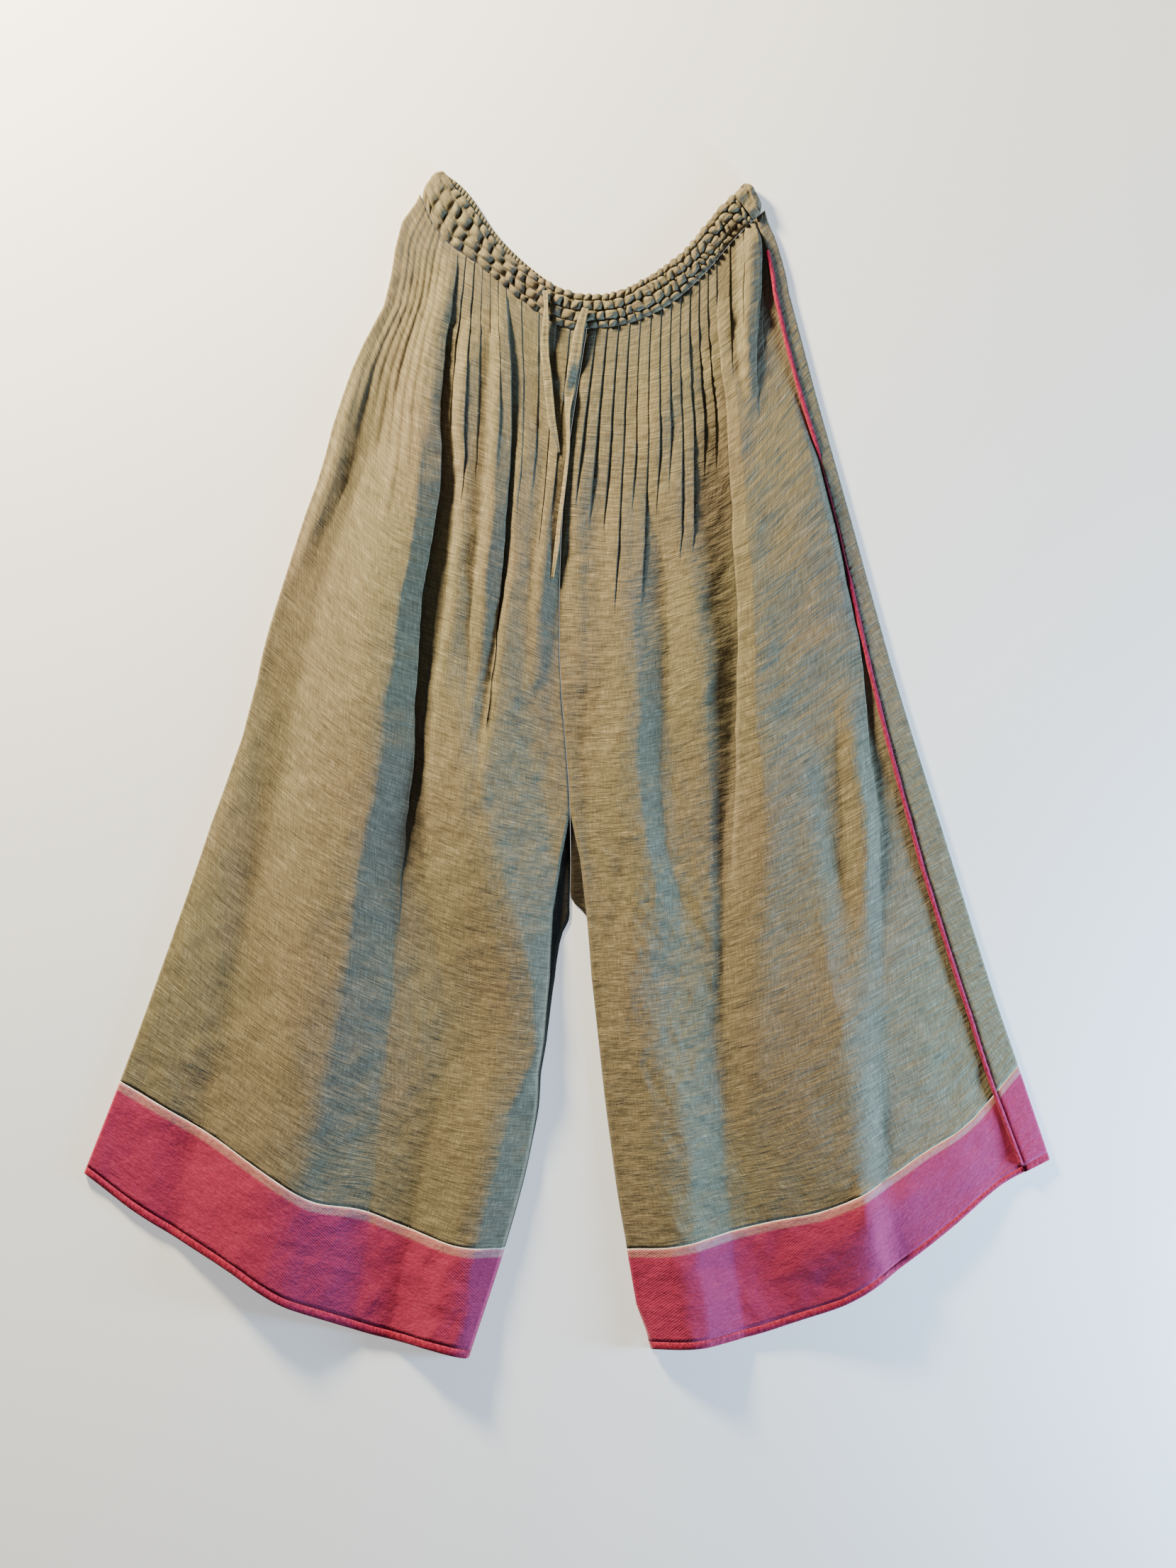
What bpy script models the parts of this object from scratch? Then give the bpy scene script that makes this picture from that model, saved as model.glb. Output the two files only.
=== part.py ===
"""Flared linen trousers with a shirred waist, laid flat with the front up.

The waist points to +Y and the wearer's left is +X. The backs lie flat on z = 0, and the fronts lie on them
with their tucks and folds. Tables and sizes are in millimetres, and each solid is scaled to metres.
"""
import math
from typing import NamedTuple

import bpy
import numpy as np

MM = 0.001

# Middle of the outline in the tables' own frame, which becomes the origin
MIDDLE = (-0.3, 1.5, 0.0)

# Cloth and seams
CLOTH = 1.5
SEAM_GAP = 0.4
WAIST_GAP = 0.6
FOLD_RADIUS = 2.2
FRONT_LEVEL = 2 * FOLD_RADIUS
INSEAM_LEVEL = 2 * CLOTH + SEAM_GAP
INSEAM_SLOPE = 8.0
CHORD_SHARE = 0.15
SIDE_SEAM_UNDER = 27.0
CROTCH_DOWN = 414.0
CENTRE_SEAM_SHARE = 0.3
FOLDS_START = 30.0
SHORT_STEP = 0.01

# Backs: columns of points, and the share of the width at which the left one starts to turn up
BACK_COLUMNS = 15
BACK_TURN = 0.93

# Tucks of each front
TUCKS = 16
TUCK_FIRST = 0.03
TUCK_PITCH = 0.048
TUCK_ROUNDING = 0.0001
TUCK_DEPTH = 2.4
TUCK_OVERLAP = 0.7
FRONT_LAST = 0.965
TUCK_RELEASE = 150.0
TUCK_RELEASE_SPREAD = 35.0
TUCK_FADE = 70.0
FOLD_FADE = 0.2

# Waistband
BAND_LEVEL = 5.4
BAND_CLOTH = 1.8
BAND_GATHERS = 40
BAND_PUFF = 4.4
BAND_PEEK = 5.5
BAND_SEAM = 0.952
BAND_ROLL_RADIUS = 6.0
BAND_START = 0.012
BAND_PLAIN_END = 0.10
BAND_STAGGER = 0.35
BAND_BACK_COLUMNS = 40
BAND_ROWS = ((0.0, 0.0), (0.13, 0.75), (0.30, 0.10), (0.50, 1.0), (0.70, 0.12), (0.87, 0.8), (1.0, 0.0))

# Hem
BAND_DOWN = 795.0
HEM_DOWN = 876.0
EDGE_WIDTH = 6.0
EDGE_BEAD = 0.9

# Trim
PIPING_RADIUS = 1.8
TIE_RADIUS = 2.2

# Waistband, from the wearer's right to the left: lower edge x, y, then upper edge x, y
WAIST = (
    (-125.4, 483.3, -110.4, 505.5),
    (-107.4, 447.9, -85.2, 484.5),
    (-74.4, 422.7, -60.0, 448.5),
    (-42.6, 396.3, -30.6, 419.7),
    (-10.8, 373.5, -3.0, 401.7),
    (16.2, 369.3, 22.2, 396.9),
    (52.2, 374.1, 46.2, 401.1),
    (86.4, 390.3, 74.4, 416.1),
    (116.4, 416.7, 100.2, 435.9),
    (143.4, 447.9, 125.4, 466.5),
    (166.8, 469.5, 153.6, 495.3),
)

# How far down the side each section of a leg lies; the first one is the waistband's lower edge
SECTION_DOWN = (0, 132, 264, CROTCH_DOWN, 552, 678, BAND_DOWN, HEM_DOWN)

# How far down the rows of points above the crotch lie, and how many rows there are below it
UPPER_ROWS = (0, 15, 34, 62, 100, 150, 205, 258, 310, 362, CROTCH_DOWN)
LOWER_ROWS = 8

# Even points x, y of each section, from the inner edge to the outer fold
SECTIONS = {
    "right": (
        ((-2.4, 238.5), (-27.6, 253.5), (-66.6, 280.5), (-129.6, 310.5), (-168.6, 364.5)),
        ((-7.2, 103.5), (-45.6, 124.5), (-96.6, 148.5), (-159.6, 178.5), (-212.4, 238.5)),
        ((1.8, -40.5), (-57.6, -25.5), (-123.6, -1.5), (-192.6, 34.5), (-258.6, 94.5)),
        ((-15.0, -181.5), (-81.6, -169.5), (-150.6, -139.5), (-225.6, -100.5), (-298.2, -40.5)),
        ((-28.2, -307.5), (-105.6, -298.5), (-180.6, -271.5), (-261.6, -223.5), (-338.4, -158.1)),
        ((-53.4, -409.5), (-94.2, -406.5), (-134.7, -392.7), (-175.4, -377.1), (-216.0, -368.7),
         (-256.7, -344.1), (-297.3, -316.5), (-338.0, -292.5), (-378.6, -268.5)),
        ((-83.4, -502.5), (-124.2, -492.9), (-165.0, -483.6), (-205.8, -470.1), (-246.3, -454.2),
         (-287.0, -428.1), (-327.7, -403.5), (-368.4, -378.1), (-409.2, -346.5)),
    ),
    "left": (
        ((-2.4, 238.5), (50.4, 232.5), (95.4, 238.5), (141.6, 262.5), (203.4, 337.5)),
        ((-7.2, 103.5), (47.4, 103.5), (98.4, 118.5), (155.4, 142.5), (238.8, 211.5)),
        ((1.8, -40.5), (59.4, -37.5), (119.4, -22.5), (188.4, 7.5), (279.0, 67.5)),
        ((19.8, -180.3), (80.4, -175.5), (146.4, -157.5), (224.4, -121.5), (320.4, -65.7)),
        ((34.2, -307.5), (95.4, -301.5), (164.4, -283.5), (257.4, -241.5), (357.6, -184.5)),
        ((50.4, -410.7), (91.8, -406.8), (133.2, -396.6), (174.6, -386.1), (216.0, -376.4),
         (257.4, -356.7), (298.8, -329.1), (340.2, -302.1), (381.6, -255.3)),
        ((71.4, -495.3), (113.4, -492.7), (155.7, -484.5), (197.9, -470.2), (240.0, -453.5),
         (282.0, -425.1), (324.3, -392.7), (366.5, -357.3), (408.6, -335.1)),
    ),
}

# How far the outer fold stands out of the sections' smooth line: y, and its shift in x
OUTER_TRIM = {
    "right": ((-50, -0.8), (-25, 0.7), (0, 2.0), (22, 3.5), (70, 2.3), (95, 0), (118, -1.0), (214, -1.0), (238, 0),
              (262, -0.9), (286, -3.2), (310, -3.7), (334, -3.8), (358, -1.5), (365, 0), (376, 1.8), (388, 4.0),
              (400, 2.7), (412, 1.3), (424, -1.2), (436, -3.8), (448, -5.2), (460, -6.6), (472, -5.4), (483, 0)),
    "left": ((310, 0), (364, 0.9), (400, 1.3), (412, 2.8), (424, 3.0), (448, 2.5), (460, 0.4), (480, 0)),
}
TRIM_START = 0.6
TRIM_DOWN = 30.0

# How far the inner edge stands out of it: y, and its shift in x
INNER_TRIM = {
    "right": ((-290, 0), (-262, -2.2), (-235, 0), (-181, 0), (-125, -5.0), (-80, -4.0), (-42, 0)),
    "left": ((-480, -1.5), (-458, -4.0), (-433, -2.0), (-400, 0), (-181, 0), (-125, 3.0), (-80, 4.0), (-42, 0)),
}
INNER_TRIM_END = 0.25


class Fold(NamedTuple):
    """A fold of a front: three x, y of its crest from the top down, and its sizes at the top and low end."""
    crest: tuple
    left: tuple
    right: tuple
    height: tuple
    lap: tuple


FOLDS = {
    "right": (
        Fold(crest=((-103, 400), (-160, -6), (-262, -560)), left=(60, 120), right=(15, 64), height=(19, 19),
             lap=(6, 0)),
        Fold(crest=((-84, 380), (-95, 160), (-114, -60)), left=(12, 14), right=(34, 40), height=(8, 5), lap=(0, 0)),
        Fold(crest=((-53, 372), (-63, 170), (-69, 30)), left=(26, 34), right=(12, 12), height=(9, 8), lap=(3, 3)),
        Fold(crest=((-85, 40), (-57, -106), (-26, -290)), left=(50, 75), right=(80, 24), height=(13, 14),
             lap=(0, 0)),
        Fold(crest=((-34, -250), (-62, -345), (-92, -560)), left=(40, 70), right=(22, 44), height=(11, 13),
             lap=(0, 0)),
        Fold(crest=((-23, 330), (-21, 230), (-21, 90)), left=(16, 20), right=(14, 14), height=(4, 4), lap=(0, 0)),
        Fold(crest=((-178, 330), (-246, 60), (-356, -480)), left=(34, 40), right=(40, 50), height=(5, 6),
             lap=(0, 0)),
    ),
    "left": (
        Fold(crest=((50, 240), (64, -73), (124, -524)), left=(34, 66), right=(26, 52), height=(9, 16),
             lap=(0, 0)),
        Fold(crest=((82, 372), (111, 110), (128, -170)), left=(24, 38), right=(40, 18), height=(6, 11),
             lap=(0, 0)),
        Fold(crest=((138, 395), (155, 170), (170, -90)), left=(13, 22), right=(48, 84), height=(17, 12),
             lap=(-4, -2)),
        Fold(crest=((205, 20), (226, -223), (244, -560)), left=(60, 90), right=(22, 36), height=(10, 13),
             lap=(0, 0)),
        Fold(crest=((236, 60), (256, -134), (264, -370)), left=(16, 18), right=(15, 18), height=(9, 7),
             lap=(1, 0)),
        Fold(crest=((199, 290), (221, 155), (242, 0)), left=(36, 40), right=(15, 15), height=(10, 9),
             lap=(3, 2)),
        Fold(crest=((151, 482), (152, 405), (156, 322)), left=(9, 7), right=(11, 7), height=(11, 8), lap=(3, 1)),
        Fold(crest=((17, 320), (14, 190), (17, 60)), left=(14, 14), right=(18, 22), height=(5, 5), lap=(0, 0)),
    ),
}

# Piped seam of the left leg: how far down, and how far in from the outer fold
PIPED_SEAM = ((0, 11.5), (100, 10.0), (200, 7.5), (270, 8.5), (400, 13.5), (560, 19.0), (700, 19.5), (876, 24.5))

# How far each back reaches past its front's inner edge, as a share of the way to the middle between the
# legs: down, right leg, left leg
CROTCH_REACH = ((0, 0, 0), (CROTCH_DOWN, 1, 1), (484, 1, 1), (490, 1, 0.75), (496, 1, 0.3), (502, 0.95, 0),
                (512, 0.62, 0), (522, 0.45, 0), (540, 0.3, 0), (560, 0.2, 0), (600, 0.1, 0), (690, 0.02, 0),
                (876, 0, 0))

# Drawstring ends: x, y and z of their routes, from the band down
TIE_RIGHT = (
    (-19.2, 399.9, 12.3), (-18.3, 388.5, 12.3), (-18.6, 373.5, 11.0), (-19.6, 358.5, 8.5), (-19.2, 343.5, 9.3),
    (-17.4, 328.5, 10.1), (-15.6, 310.5, 10.1), (-13.8, 292.5, 11.0), (-11.0, 277.5, 10.6), (-7.2, 263.0, 9.9),
)
TIE_LEFT = (
    (14.9, 384.9, 12.0), (10.2, 368.1, 10.7), (6.6, 346.5, 8.7), (3.0, 325.5, 8.6), (0.2, 300.9, 9.4),
    (0.4, 268.5, 9.4), (-2.0, 245.1, 9.2), (-7.2, 203.7, 9.3), (-9.4, 183.3, 9.1), (-13.2, 156.9, 9.1),
)

# Finishes: base colour and roughness
FINISHES = {
    "linen": ((0.40, 0.33, 0.22, 1.0), 0.9),
    "pink twill": ((0.55, 0.10, 0.18, 1.0), 0.8),
    "crimson": ((0.45, 0.03, 0.09, 1.0), 0.7),
}


def ease(value):
    """Smooth step from 0 to 1."""
    held = np.clip(value, 0.0, 1.0)
    return held * held * (3.0 - 2.0 * held)


def smooth(keys, rows, wanted):
    """Cubic through rows[:, i] at the rising keys, read at wanted[i]."""
    keys = np.asarray(keys, float)
    slopes = np.gradient(rows, keys, axis=0)
    below = np.clip(np.searchsorted(keys, wanted, side="right") - 1, 0, len(keys) - 2)
    span = (keys[below + 1] - keys[below])[:, None]
    part = (wanted - keys[below])[:, None] / span
    pick = np.arange(len(wanted))
    start, end = rows[below, pick], rows[below + 1, pick]
    leave, arrive = slopes[below, pick] * span, slopes[below + 1, pick] * span
    ahead = (1.0 - part) ** 2
    return (start * (1.0 + 2.0 * part) * ahead + leave * part * ahead
            + end * part ** 2 * (3.0 - 2.0 * part) + arrive * part ** 2 * (part - 1.0))


def table_line(keys, values, wanted):
    """Smooth points along one line of points or numbers."""
    values = np.asarray(values, float)
    rows = np.repeat(values.reshape(len(values), 1, -1), len(wanted), axis=1)
    return smooth(keys, rows, wanted)


def column(table, index, wanted):
    """One column of a table whose first column rises, read between its rows."""
    return np.interp(wanted, [row[0] for row in table], [row[index] for row in table])


def waist_edges(along):
    """Lower and upper edge of the waistband; along runs from 0 at the wearer's right to 1 at the left."""
    keys = np.linspace(0.0, 1.0, len(WAIST))
    both = table_line(keys, WAIST, along)
    return both[:, :2], both[:, 2:]


def own_plan(side, across, down):
    """Place on the floor of a point of a leg, by its own sections alone."""
    along = 0.5 + (0.5 if side == "left" else -0.5) * across
    lower, upper = waist_edges(along)
    away = lower - upper
    top = lower + WAIST_GAP * away / np.linalg.norm(away, axis=1)[:, None]
    rows = [top] + [table_line(np.linspace(0.0, 1.0, len(section)), section, across)
                    for section in SECTIONS[side]]
    place = smooth(SECTION_DOWN, np.stack(rows), down)
    shift = column(OUTER_TRIM[side], 1, place[:, 1]) * ease((across - TRIM_START) / (1.0 - TRIM_START))
    shift *= ease(down / TRIM_DOWN)
    shift += column(INNER_TRIM[side], 1, place[:, 1]) * (1.0 - ease(across / INNER_TRIM_END))
    return place + shift[:, None] * (1.0, 0.0)


def plan(side, across, down):
    """Place on the floor of a point of a leg; across is 0 at the inner edge and 1 at the outer fold.

    Above the crotch the inner edges of both legs are drawn to one centre seam."""
    none = np.zeros_like(down)
    other = "left" if side == "right" else "right"
    to_seam = (own_plan(other, none, down) - own_plan(side, none, down)) / 2
    share = (1.0 - ease(across / CENTRE_SEAM_SHARE)) * (down < CROTCH_DOWN)
    return own_plan(side, across, down) + share[:, None] * to_seam


def outward(side, across, down):
    """Unit direction on the floor from the inner edge to the outer fold."""
    line = plan(side, across + SHORT_STEP, down) - plan(side, across - SHORT_STEP, down)
    return line / np.linalg.norm(line, axis=1)[:, None]


def leg_width(side, down):
    """Straight width of a leg from its inner edge to its outer fold."""
    ends = plan(side, np.ones_like(down), down) - plan(side, np.zeros_like(down), down)
    return np.linalg.norm(ends, axis=1)


def blend_ends(pair, run):
    """A size that changes evenly from a fold's top to its low end."""
    return pair[0] + (pair[1] - pair[0]) * run


def fold_relief(side, place):
    """Height of the front's folds over a place on the floor, and how far they lap over sideways."""
    lift = np.zeros(len(place))
    push = np.zeros((len(place), 2))
    for fold in FOLDS[side]:
        crest_x, crest_y = np.array(fold.crest, float).T
        bend = np.polyfit(crest_y, crest_x, 2)
        y = np.clip(place[:, 1], crest_y[2], crest_y[0])
        slant = np.polyval(np.polyder(bend), y)
        normal = np.stack([np.ones_like(slant), -slant], axis=1) / np.hypot(1.0, slant)[:, None]
        run = (crest_y[0] - y) / (crest_y[0] - crest_y[2])
        offset = (place[:, 0] - np.polyval(bend, y)) * normal[:, 0]
        width = np.where(offset < 0.0, blend_ends(fold.left, run), blend_ends(fold.right, run))
        part = np.clip(offset / width, -1.0, 1.0)
        strength = ease(run / FOLD_FADE) * ease((1.0 - run) / FOLD_FADE)
        lift += blend_ends(fold.height, run) * strength * np.cos(math.pi * part / 2.0) ** 2
        lap = blend_ends(fold.lap, run)
        flank = np.where(lap * offset > 0.0, np.sin(math.pi * part) ** 2, 0.0)
        push += (lap * strength * flank)[:, None] * normal
    return lift, push


def front_face(side, across, down):
    """Outer face of a front between its tucks, as x, y, z."""
    place = plan(side, across, down)
    lift, push = fold_relief(side, place)
    width = leg_width(side, down)
    inner = across * width
    outer = (1.0 - across) * width
    if side == "left":
        outer = outer - column(PIPED_SEAM, 1, down)
    hold = ease(inner / INSEAM_SLOPE) * ease(outer / INSEAM_SLOPE) * ease(down / FOLDS_START)
    level = INSEAM_LEVEL + (FRONT_LEVEL - INSEAM_LEVEL) * ease(inner / INSEAM_SLOPE)
    height = level + hold * lift
    return np.column_stack([place + hold[:, None] * push, height])


def tuck_rise(side, across, down):
    """How far the tucks lift the front, and how far their free edges lap over towards +X."""
    count = (across - TUCK_FIRST) / TUCK_PITCH + TUCK_ROUNDING
    number = np.clip(np.floor(count), -1, TUCKS - 1)
    part = np.clip(count - number, 0.0, 1.0)
    release = TUCK_RELEASE + TUCK_RELEASE_SPREAD * np.sin(2.4 * number)
    strength = (1.0 - ease((down - release) / TUCK_FADE)) * (number >= 0) * (count < TUCKS)
    part, turn = (part, 1.0) if side == "left" else (1.0 - part, -1.0)
    lift = TUCK_DEPTH * part * strength
    lap = turn * TUCK_OVERLAP * part ** 3 * strength
    return lift, lap[:, None] * outward(side, across, down)


def grid_arrays(rows, columns):
    """Every row value beside every column value, as two flat arrays."""
    down, across = np.meshgrid(rows, columns, indexing="ij")
    return down.ravel(), across.ravel()


def section_normals(points, lead=None):
    """Unit normals of a grid of points, each square to its row and upright over the row's line.

    The lead is the direction on the floor that each row takes; without it, the row's own chord is taken."""
    chord = points[:, -1:] - points[:, :1]
    if lead is not None:
        chord = np.pad(lead, ((0, 0), (0, 1)))[:, None]
    chord[:, :, 2] = 0.0
    chord /= np.linalg.norm(chord, axis=2, keepdims=True)
    tangent = np.gradient(points, axis=1)
    length = np.linalg.norm(tangent, axis=2, keepdims=True)
    floor_line = tangent * (1.0, 1.0, 0.0)
    turned = np.where(np.sum(floor_line * chord, axis=2, keepdims=True) < 0.0, -1.0, 1.0)
    axis = turned * floor_line + CHORD_SHARE * length * chord
    axis /= np.linalg.norm(axis, axis=2, keepdims=True)
    forward = np.sum(tangent * axis, axis=2, keepdims=True)
    normal = forward * np.array((0.0, 0.0, 1.0)) - tangent[:, :, 2:] * axis
    return normal / np.linalg.norm(normal, axis=2, keepdims=True)


def wall(name, outer, inner, finish):
    """One closed solid between two grids of points, whose inner grid lies behind the outer one."""
    rows, columns = outer.shape[:2]
    count = rows * columns
    index = np.arange(count).reshape(rows, columns)
    faces = []
    for row in range(rows - 1):
        for col in range(columns - 1):
            first, second, third, fourth = (index[row, col], index[row, col + 1],
                                            index[row + 1, col + 1], index[row + 1, col])
            for corners in ((first, second, third), (first, third, fourth)):
                faces.append(corners)
                faces.append([count + corner for corner in reversed(corners)])
    rim = (list(index[0, :-1]) + list(index[:-1, -1]) + list(index[-1, :0:-1]) + list(index[:0:-1, 0]))
    for here, there in zip(rim, rim[1:] + rim[:1]):
        faces.append([there, here, count + here, count + there])
    points = (np.concatenate([outer.reshape(-1, 3), inner.reshape(-1, 3)]) - MIDDLE) * MM
    mesh = bpy.data.meshes.new(name)
    mesh.from_pydata([tuple(map(float, p)) for p in points], [], [[int(i) for i in f] for f in faces])
    if mesh_volume(mesh) < 0:
        mesh.flip_normals()
    mesh.validate()
    mesh.shade_smooth()
    return add_object(name, mesh, finish)


def mesh_volume(mesh):
    """Signed volume of a closed mesh."""
    total = 0.0
    for face in mesh.polygons:
        corners = [mesh.vertices[i].co for i in face.vertices]
        for second, third in zip(corners[1:], corners[2:]):
            total += corners[0].dot(second.cross(third)) / 6.0
    return total


def add_object(name, data, finish):
    """Object in the garment's collection with its own material."""
    colour, roughness = FINISHES[finish]
    material = bpy.data.materials.new(name + " " + finish)
    material.use_nodes = True
    shader = material.node_tree.nodes["Principled BSDF"]
    shader.inputs["Base Color"].default_value = colour
    shader.inputs["Roughness"].default_value = roughness
    data.materials.append(material)
    made = bpy.data.objects.new(name, data)
    bpy.data.collections["Flared trousers"].objects.link(made)
    return made


def fold_round(side, rows, angles):
    """Points round the outer fold of a leg, from the top layer (angle 0) to the underside (pi)."""
    down, angle = grid_arrays(rows, angles)
    ones = np.ones_like(down)
    edge = plan(side, ones, down)
    inward = -outward(side, ones, down)
    place = edge + (FOLD_RADIUS * (1.0 - np.sin(angle)))[:, None] * inward
    height = FOLD_RADIUS * (1.0 + np.cos(angle))
    return np.column_stack([place, height]).reshape(len(rows), len(angles), 3)


def side_strip(side, rows, insets, height):
    """Points in from the outer fold by each row's own insets, all at one height."""
    count = np.shape(insets)[-1]
    down = np.repeat(rows, count)
    inset = np.broadcast_to(insets, (len(rows), count)).ravel()
    place = plan(side, 1.0 - inset / leg_width(side, down), down)
    level = np.full(len(down), float(height))
    return np.column_stack([place, level]).reshape(len(rows), count, 3)


def front_columns(down):
    """Across values of a front's points in each row: at the foot and edge of each tuck, even lower down."""
    edges = TUCK_FIRST + TUCK_PITCH * np.arange(TUCKS + 1)
    tucked = np.concatenate([[0.0], np.sort(np.concatenate([edges - 0.004, edges]))])
    tucked = np.concatenate([tucked, np.linspace(edges[-1] + 0.03, FRONT_LAST, 4)])
    even = np.linspace(0.0, FRONT_LAST, len(tucked))
    share = ease((down - TUCK_RELEASE - TUCK_FADE) / TUCK_FADE)
    return tucked + share[:, None] * (even - tucked)


def front_piece(name, side, rows, finish, bead=0.0):
    """A front, hem band or hem edge that lies on the top layer."""
    columns = front_columns(rows)
    shape = columns.shape + (3,)
    down = np.repeat(rows, shape[1])
    across = np.maximum(columns.ravel(), SEAM_GAP / 2 / leg_width(side, down))
    if side == "left":
        limit = 1.0 - (column(PIPED_SEAM, 1, down) + SEAM_GAP / 2) / leg_width(side, down)
        loose = TUCK_FIRST + TUCKS * TUCK_PITCH
        stretch = np.clip((across - loose) / (FRONT_LAST - loose), 0.0, 1.0)
        across = across + stretch * (limit - FRONT_LAST)
    plain = front_face(side, across, down)
    lift, lap = tuck_rise(side, across, down)
    raised = plain + np.column_stack([lap, lift])
    middle = (down - rows[0]) / (rows[-1] - rows[0])
    raised[:, 2] += bead * np.sin(math.pi * middle)
    plain, raised = plain.reshape(shape), raised.reshape(shape)
    if side == "right":
        bend = fold_round(side, rows, np.linspace(0.0, math.pi, 5))
        under = side_strip(side, rows, (12.0, SIDE_SEAM_UNDER - SEAM_GAP / 2), 0.0)
        plain = np.concatenate([plain, bend, under], axis=1)
        raised = np.concatenate([raised, bend, under], axis=1)
    return wall(name, raised, plain - CLOTH * section_normals(plain), finish)


def back_piece(name, side, rows, finish):
    """A back, hem band or hem edge that lies flat underneath."""
    down, share = grid_arrays(rows, np.linspace(0.0, 1.0, BACK_COLUMNS))
    width = leg_width(side, down)
    none = np.zeros_like(down)
    between = np.linalg.norm(plan("left", none, down) - plan("right", none, down), axis=1)
    reach = column(CROTCH_REACH, 1 if side == "right" else 2, down)
    step = plan(side, none + SHORT_STEP, down) - plan(side, none, down)
    start = (SEAM_GAP / 2 - reach * between / 2) * SHORT_STEP / np.linalg.norm(step, axis=1)
    end = BACK_TURN
    if side == "right":
        end = 1.0 - (SIDE_SEAM_UNDER + SEAM_GAP / 2) / width
    place = plan(side, start + (end - start) * share, down)
    skin = np.column_stack([place, np.zeros(len(place))]).reshape(len(rows), BACK_COLUMNS, 3)
    if side == "left":
        bend = fold_round(side, rows, np.linspace(math.pi, 0.0, 5))
        seam_inset = column(PIPED_SEAM, 1, rows) - SEAM_GAP / 2
        halfway = (FOLD_RADIUS + seam_inset) / 2
        lane = side_strip(side, rows, np.stack([halfway, seam_inset], axis=1), FRONT_LEVEL)
        skin = np.concatenate([skin, bend, lane], axis=1)
    lead = outward(side, np.ones_like(rows), rows)
    return wall(name, skin, skin + CLOTH * section_normals(skin, lead), finish)


def band_place(along, height_share):
    """Place on the floor of a point of the waistband, from its lower edge (0) to its upper edge (1)."""
    lower, upper = waist_edges(along)
    return lower + (upper - lower) * height_share[:, None]


def band_reach(end, share, inset):
    """Value along the waistband that lies an inset in from one of its ends, at a share of its width."""
    inner = np.full(len(share), abs(end - SHORT_STEP))
    run = band_place(inner, share) - band_place(np.full(len(share), float(end)), share)
    return np.abs(end - SHORT_STEP * inset / np.linalg.norm(run, axis=1))


def waistband_front():
    """The shirred front of the waistband, with puffs between its rows of elastic."""
    shares = np.array([row[0] for row in BAND_ROWS])
    puffs = np.array([row[1] for row in BAND_ROWS])
    steps = np.linspace(BAND_START, BAND_SEAM, 2 * BAND_GATHERS)
    share, along = grid_arrays(shares, steps)
    row_number, gather = grid_arrays(np.arange(len(shares)), np.arange(len(steps)))
    peek = BAND_PEEK * ease((0.45 - along) / 0.25) * ease(along / 0.08)
    lower, upper = waist_edges(along)
    width = np.linalg.norm(upper - lower, axis=1)
    place = band_place(along, share * (1.0 - peek / width))
    stagger = np.where((gather + row_number // 2) % 2 == 0, 1.0, BAND_STAGGER)
    grown = ease(along / BAND_PLAIN_END)
    size = BAND_STAGGER + (stagger - BAND_STAGGER) * grown
    plain = np.column_stack([place, np.full(len(along), BAND_LEVEL)])
    puff = BAND_PUFF * puffs[row_number] * size
    raised = plain.copy()
    raised[:, 2] += puff
    shape = (len(shares), len(steps), 3)
    plain, raised = plain.reshape(shape), raised.reshape(shape)
    bend = band_end_round(shares, 0.0, BAND_LEVEL / 2, np.linspace(math.pi, 0.0, 5))
    under = band_lane(shares, (0.05, 0.02), 0.0)
    plain = np.concatenate([under, bend, plain], axis=1)
    raised = np.concatenate([under, bend, raised], axis=1)
    return wall("waistband_front", raised, plain - BAND_CLOTH * section_normals(plain), "linen")


def band_end_round(shares, end, radius, angles):
    """Points round a folded end of the waistband; angle 0 is the top layer and pi the underside."""
    share, angle = grid_arrays(shares, angles)
    place = band_place(band_reach(end, share, radius * (1.0 - np.sin(angle))), share)
    height = radius * (1.0 + np.cos(angle))
    return np.column_stack([place, height]).reshape(len(shares), len(angles), 3)


def band_lane(shares, stops, height):
    """Flat points of the waistband at stops along its length."""
    share, along = grid_arrays(shares, stops)
    place = band_place(along, share)
    return np.column_stack([place, np.full(len(along), float(height))]).reshape(len(shares), len(stops), 3)


def waistband_back():
    """The back of the waistband, flat underneath, rolled over the wearer's left corner."""
    shares = np.array((0.0, 0.5, 1.0))
    flat = band_lane(shares, np.linspace(0.056, 0.96, BAND_BACK_COLUMNS), 0.0)
    bend = band_end_round(shares, 1.0, BAND_ROLL_RADIUS, np.linspace(math.pi, 0.0, 7))
    top = band_lane(shares, (BAND_SEAM + 0.004,), 2 * BAND_ROLL_RADIUS - 1.0)
    skin = np.concatenate([flat, bend, top], axis=1)
    return wall("waistband_back", skin, skin + BAND_CLOTH * section_normals(skin), "linen")


def tube(name, points, radius, finish):
    """Round trim along a smooth line of points."""
    data = bpy.data.curves.new(name, "CURVE")
    data.dimensions = "3D"
    data.bevel_depth = radius * MM
    data.bevel_resolution = 2
    data.use_fill_caps = True
    line = data.splines.new("POLY")
    line.points.add(len(points) - 1)
    for point, place in zip(line.points, (points - MIDDLE) * MM):
        point.co = (*place, 1.0)
    return add_object(name, data, finish)


def piping():
    """Piping that lies on the left side seam."""
    down = np.linspace(26.0, HEM_DOWN - EDGE_WIDTH - 2.0, 24)
    inset = column(PIPED_SEAM, 1, down)
    place = plan("left", 1.0 - inset / leg_width("left", down), down)
    height = np.full(len(down), FRONT_LEVEL + SEAM_GAP + PIPING_RADIUS)
    return tube("piping_left", np.column_stack([place, height]), PIPING_RADIUS, "crimson")


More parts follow.
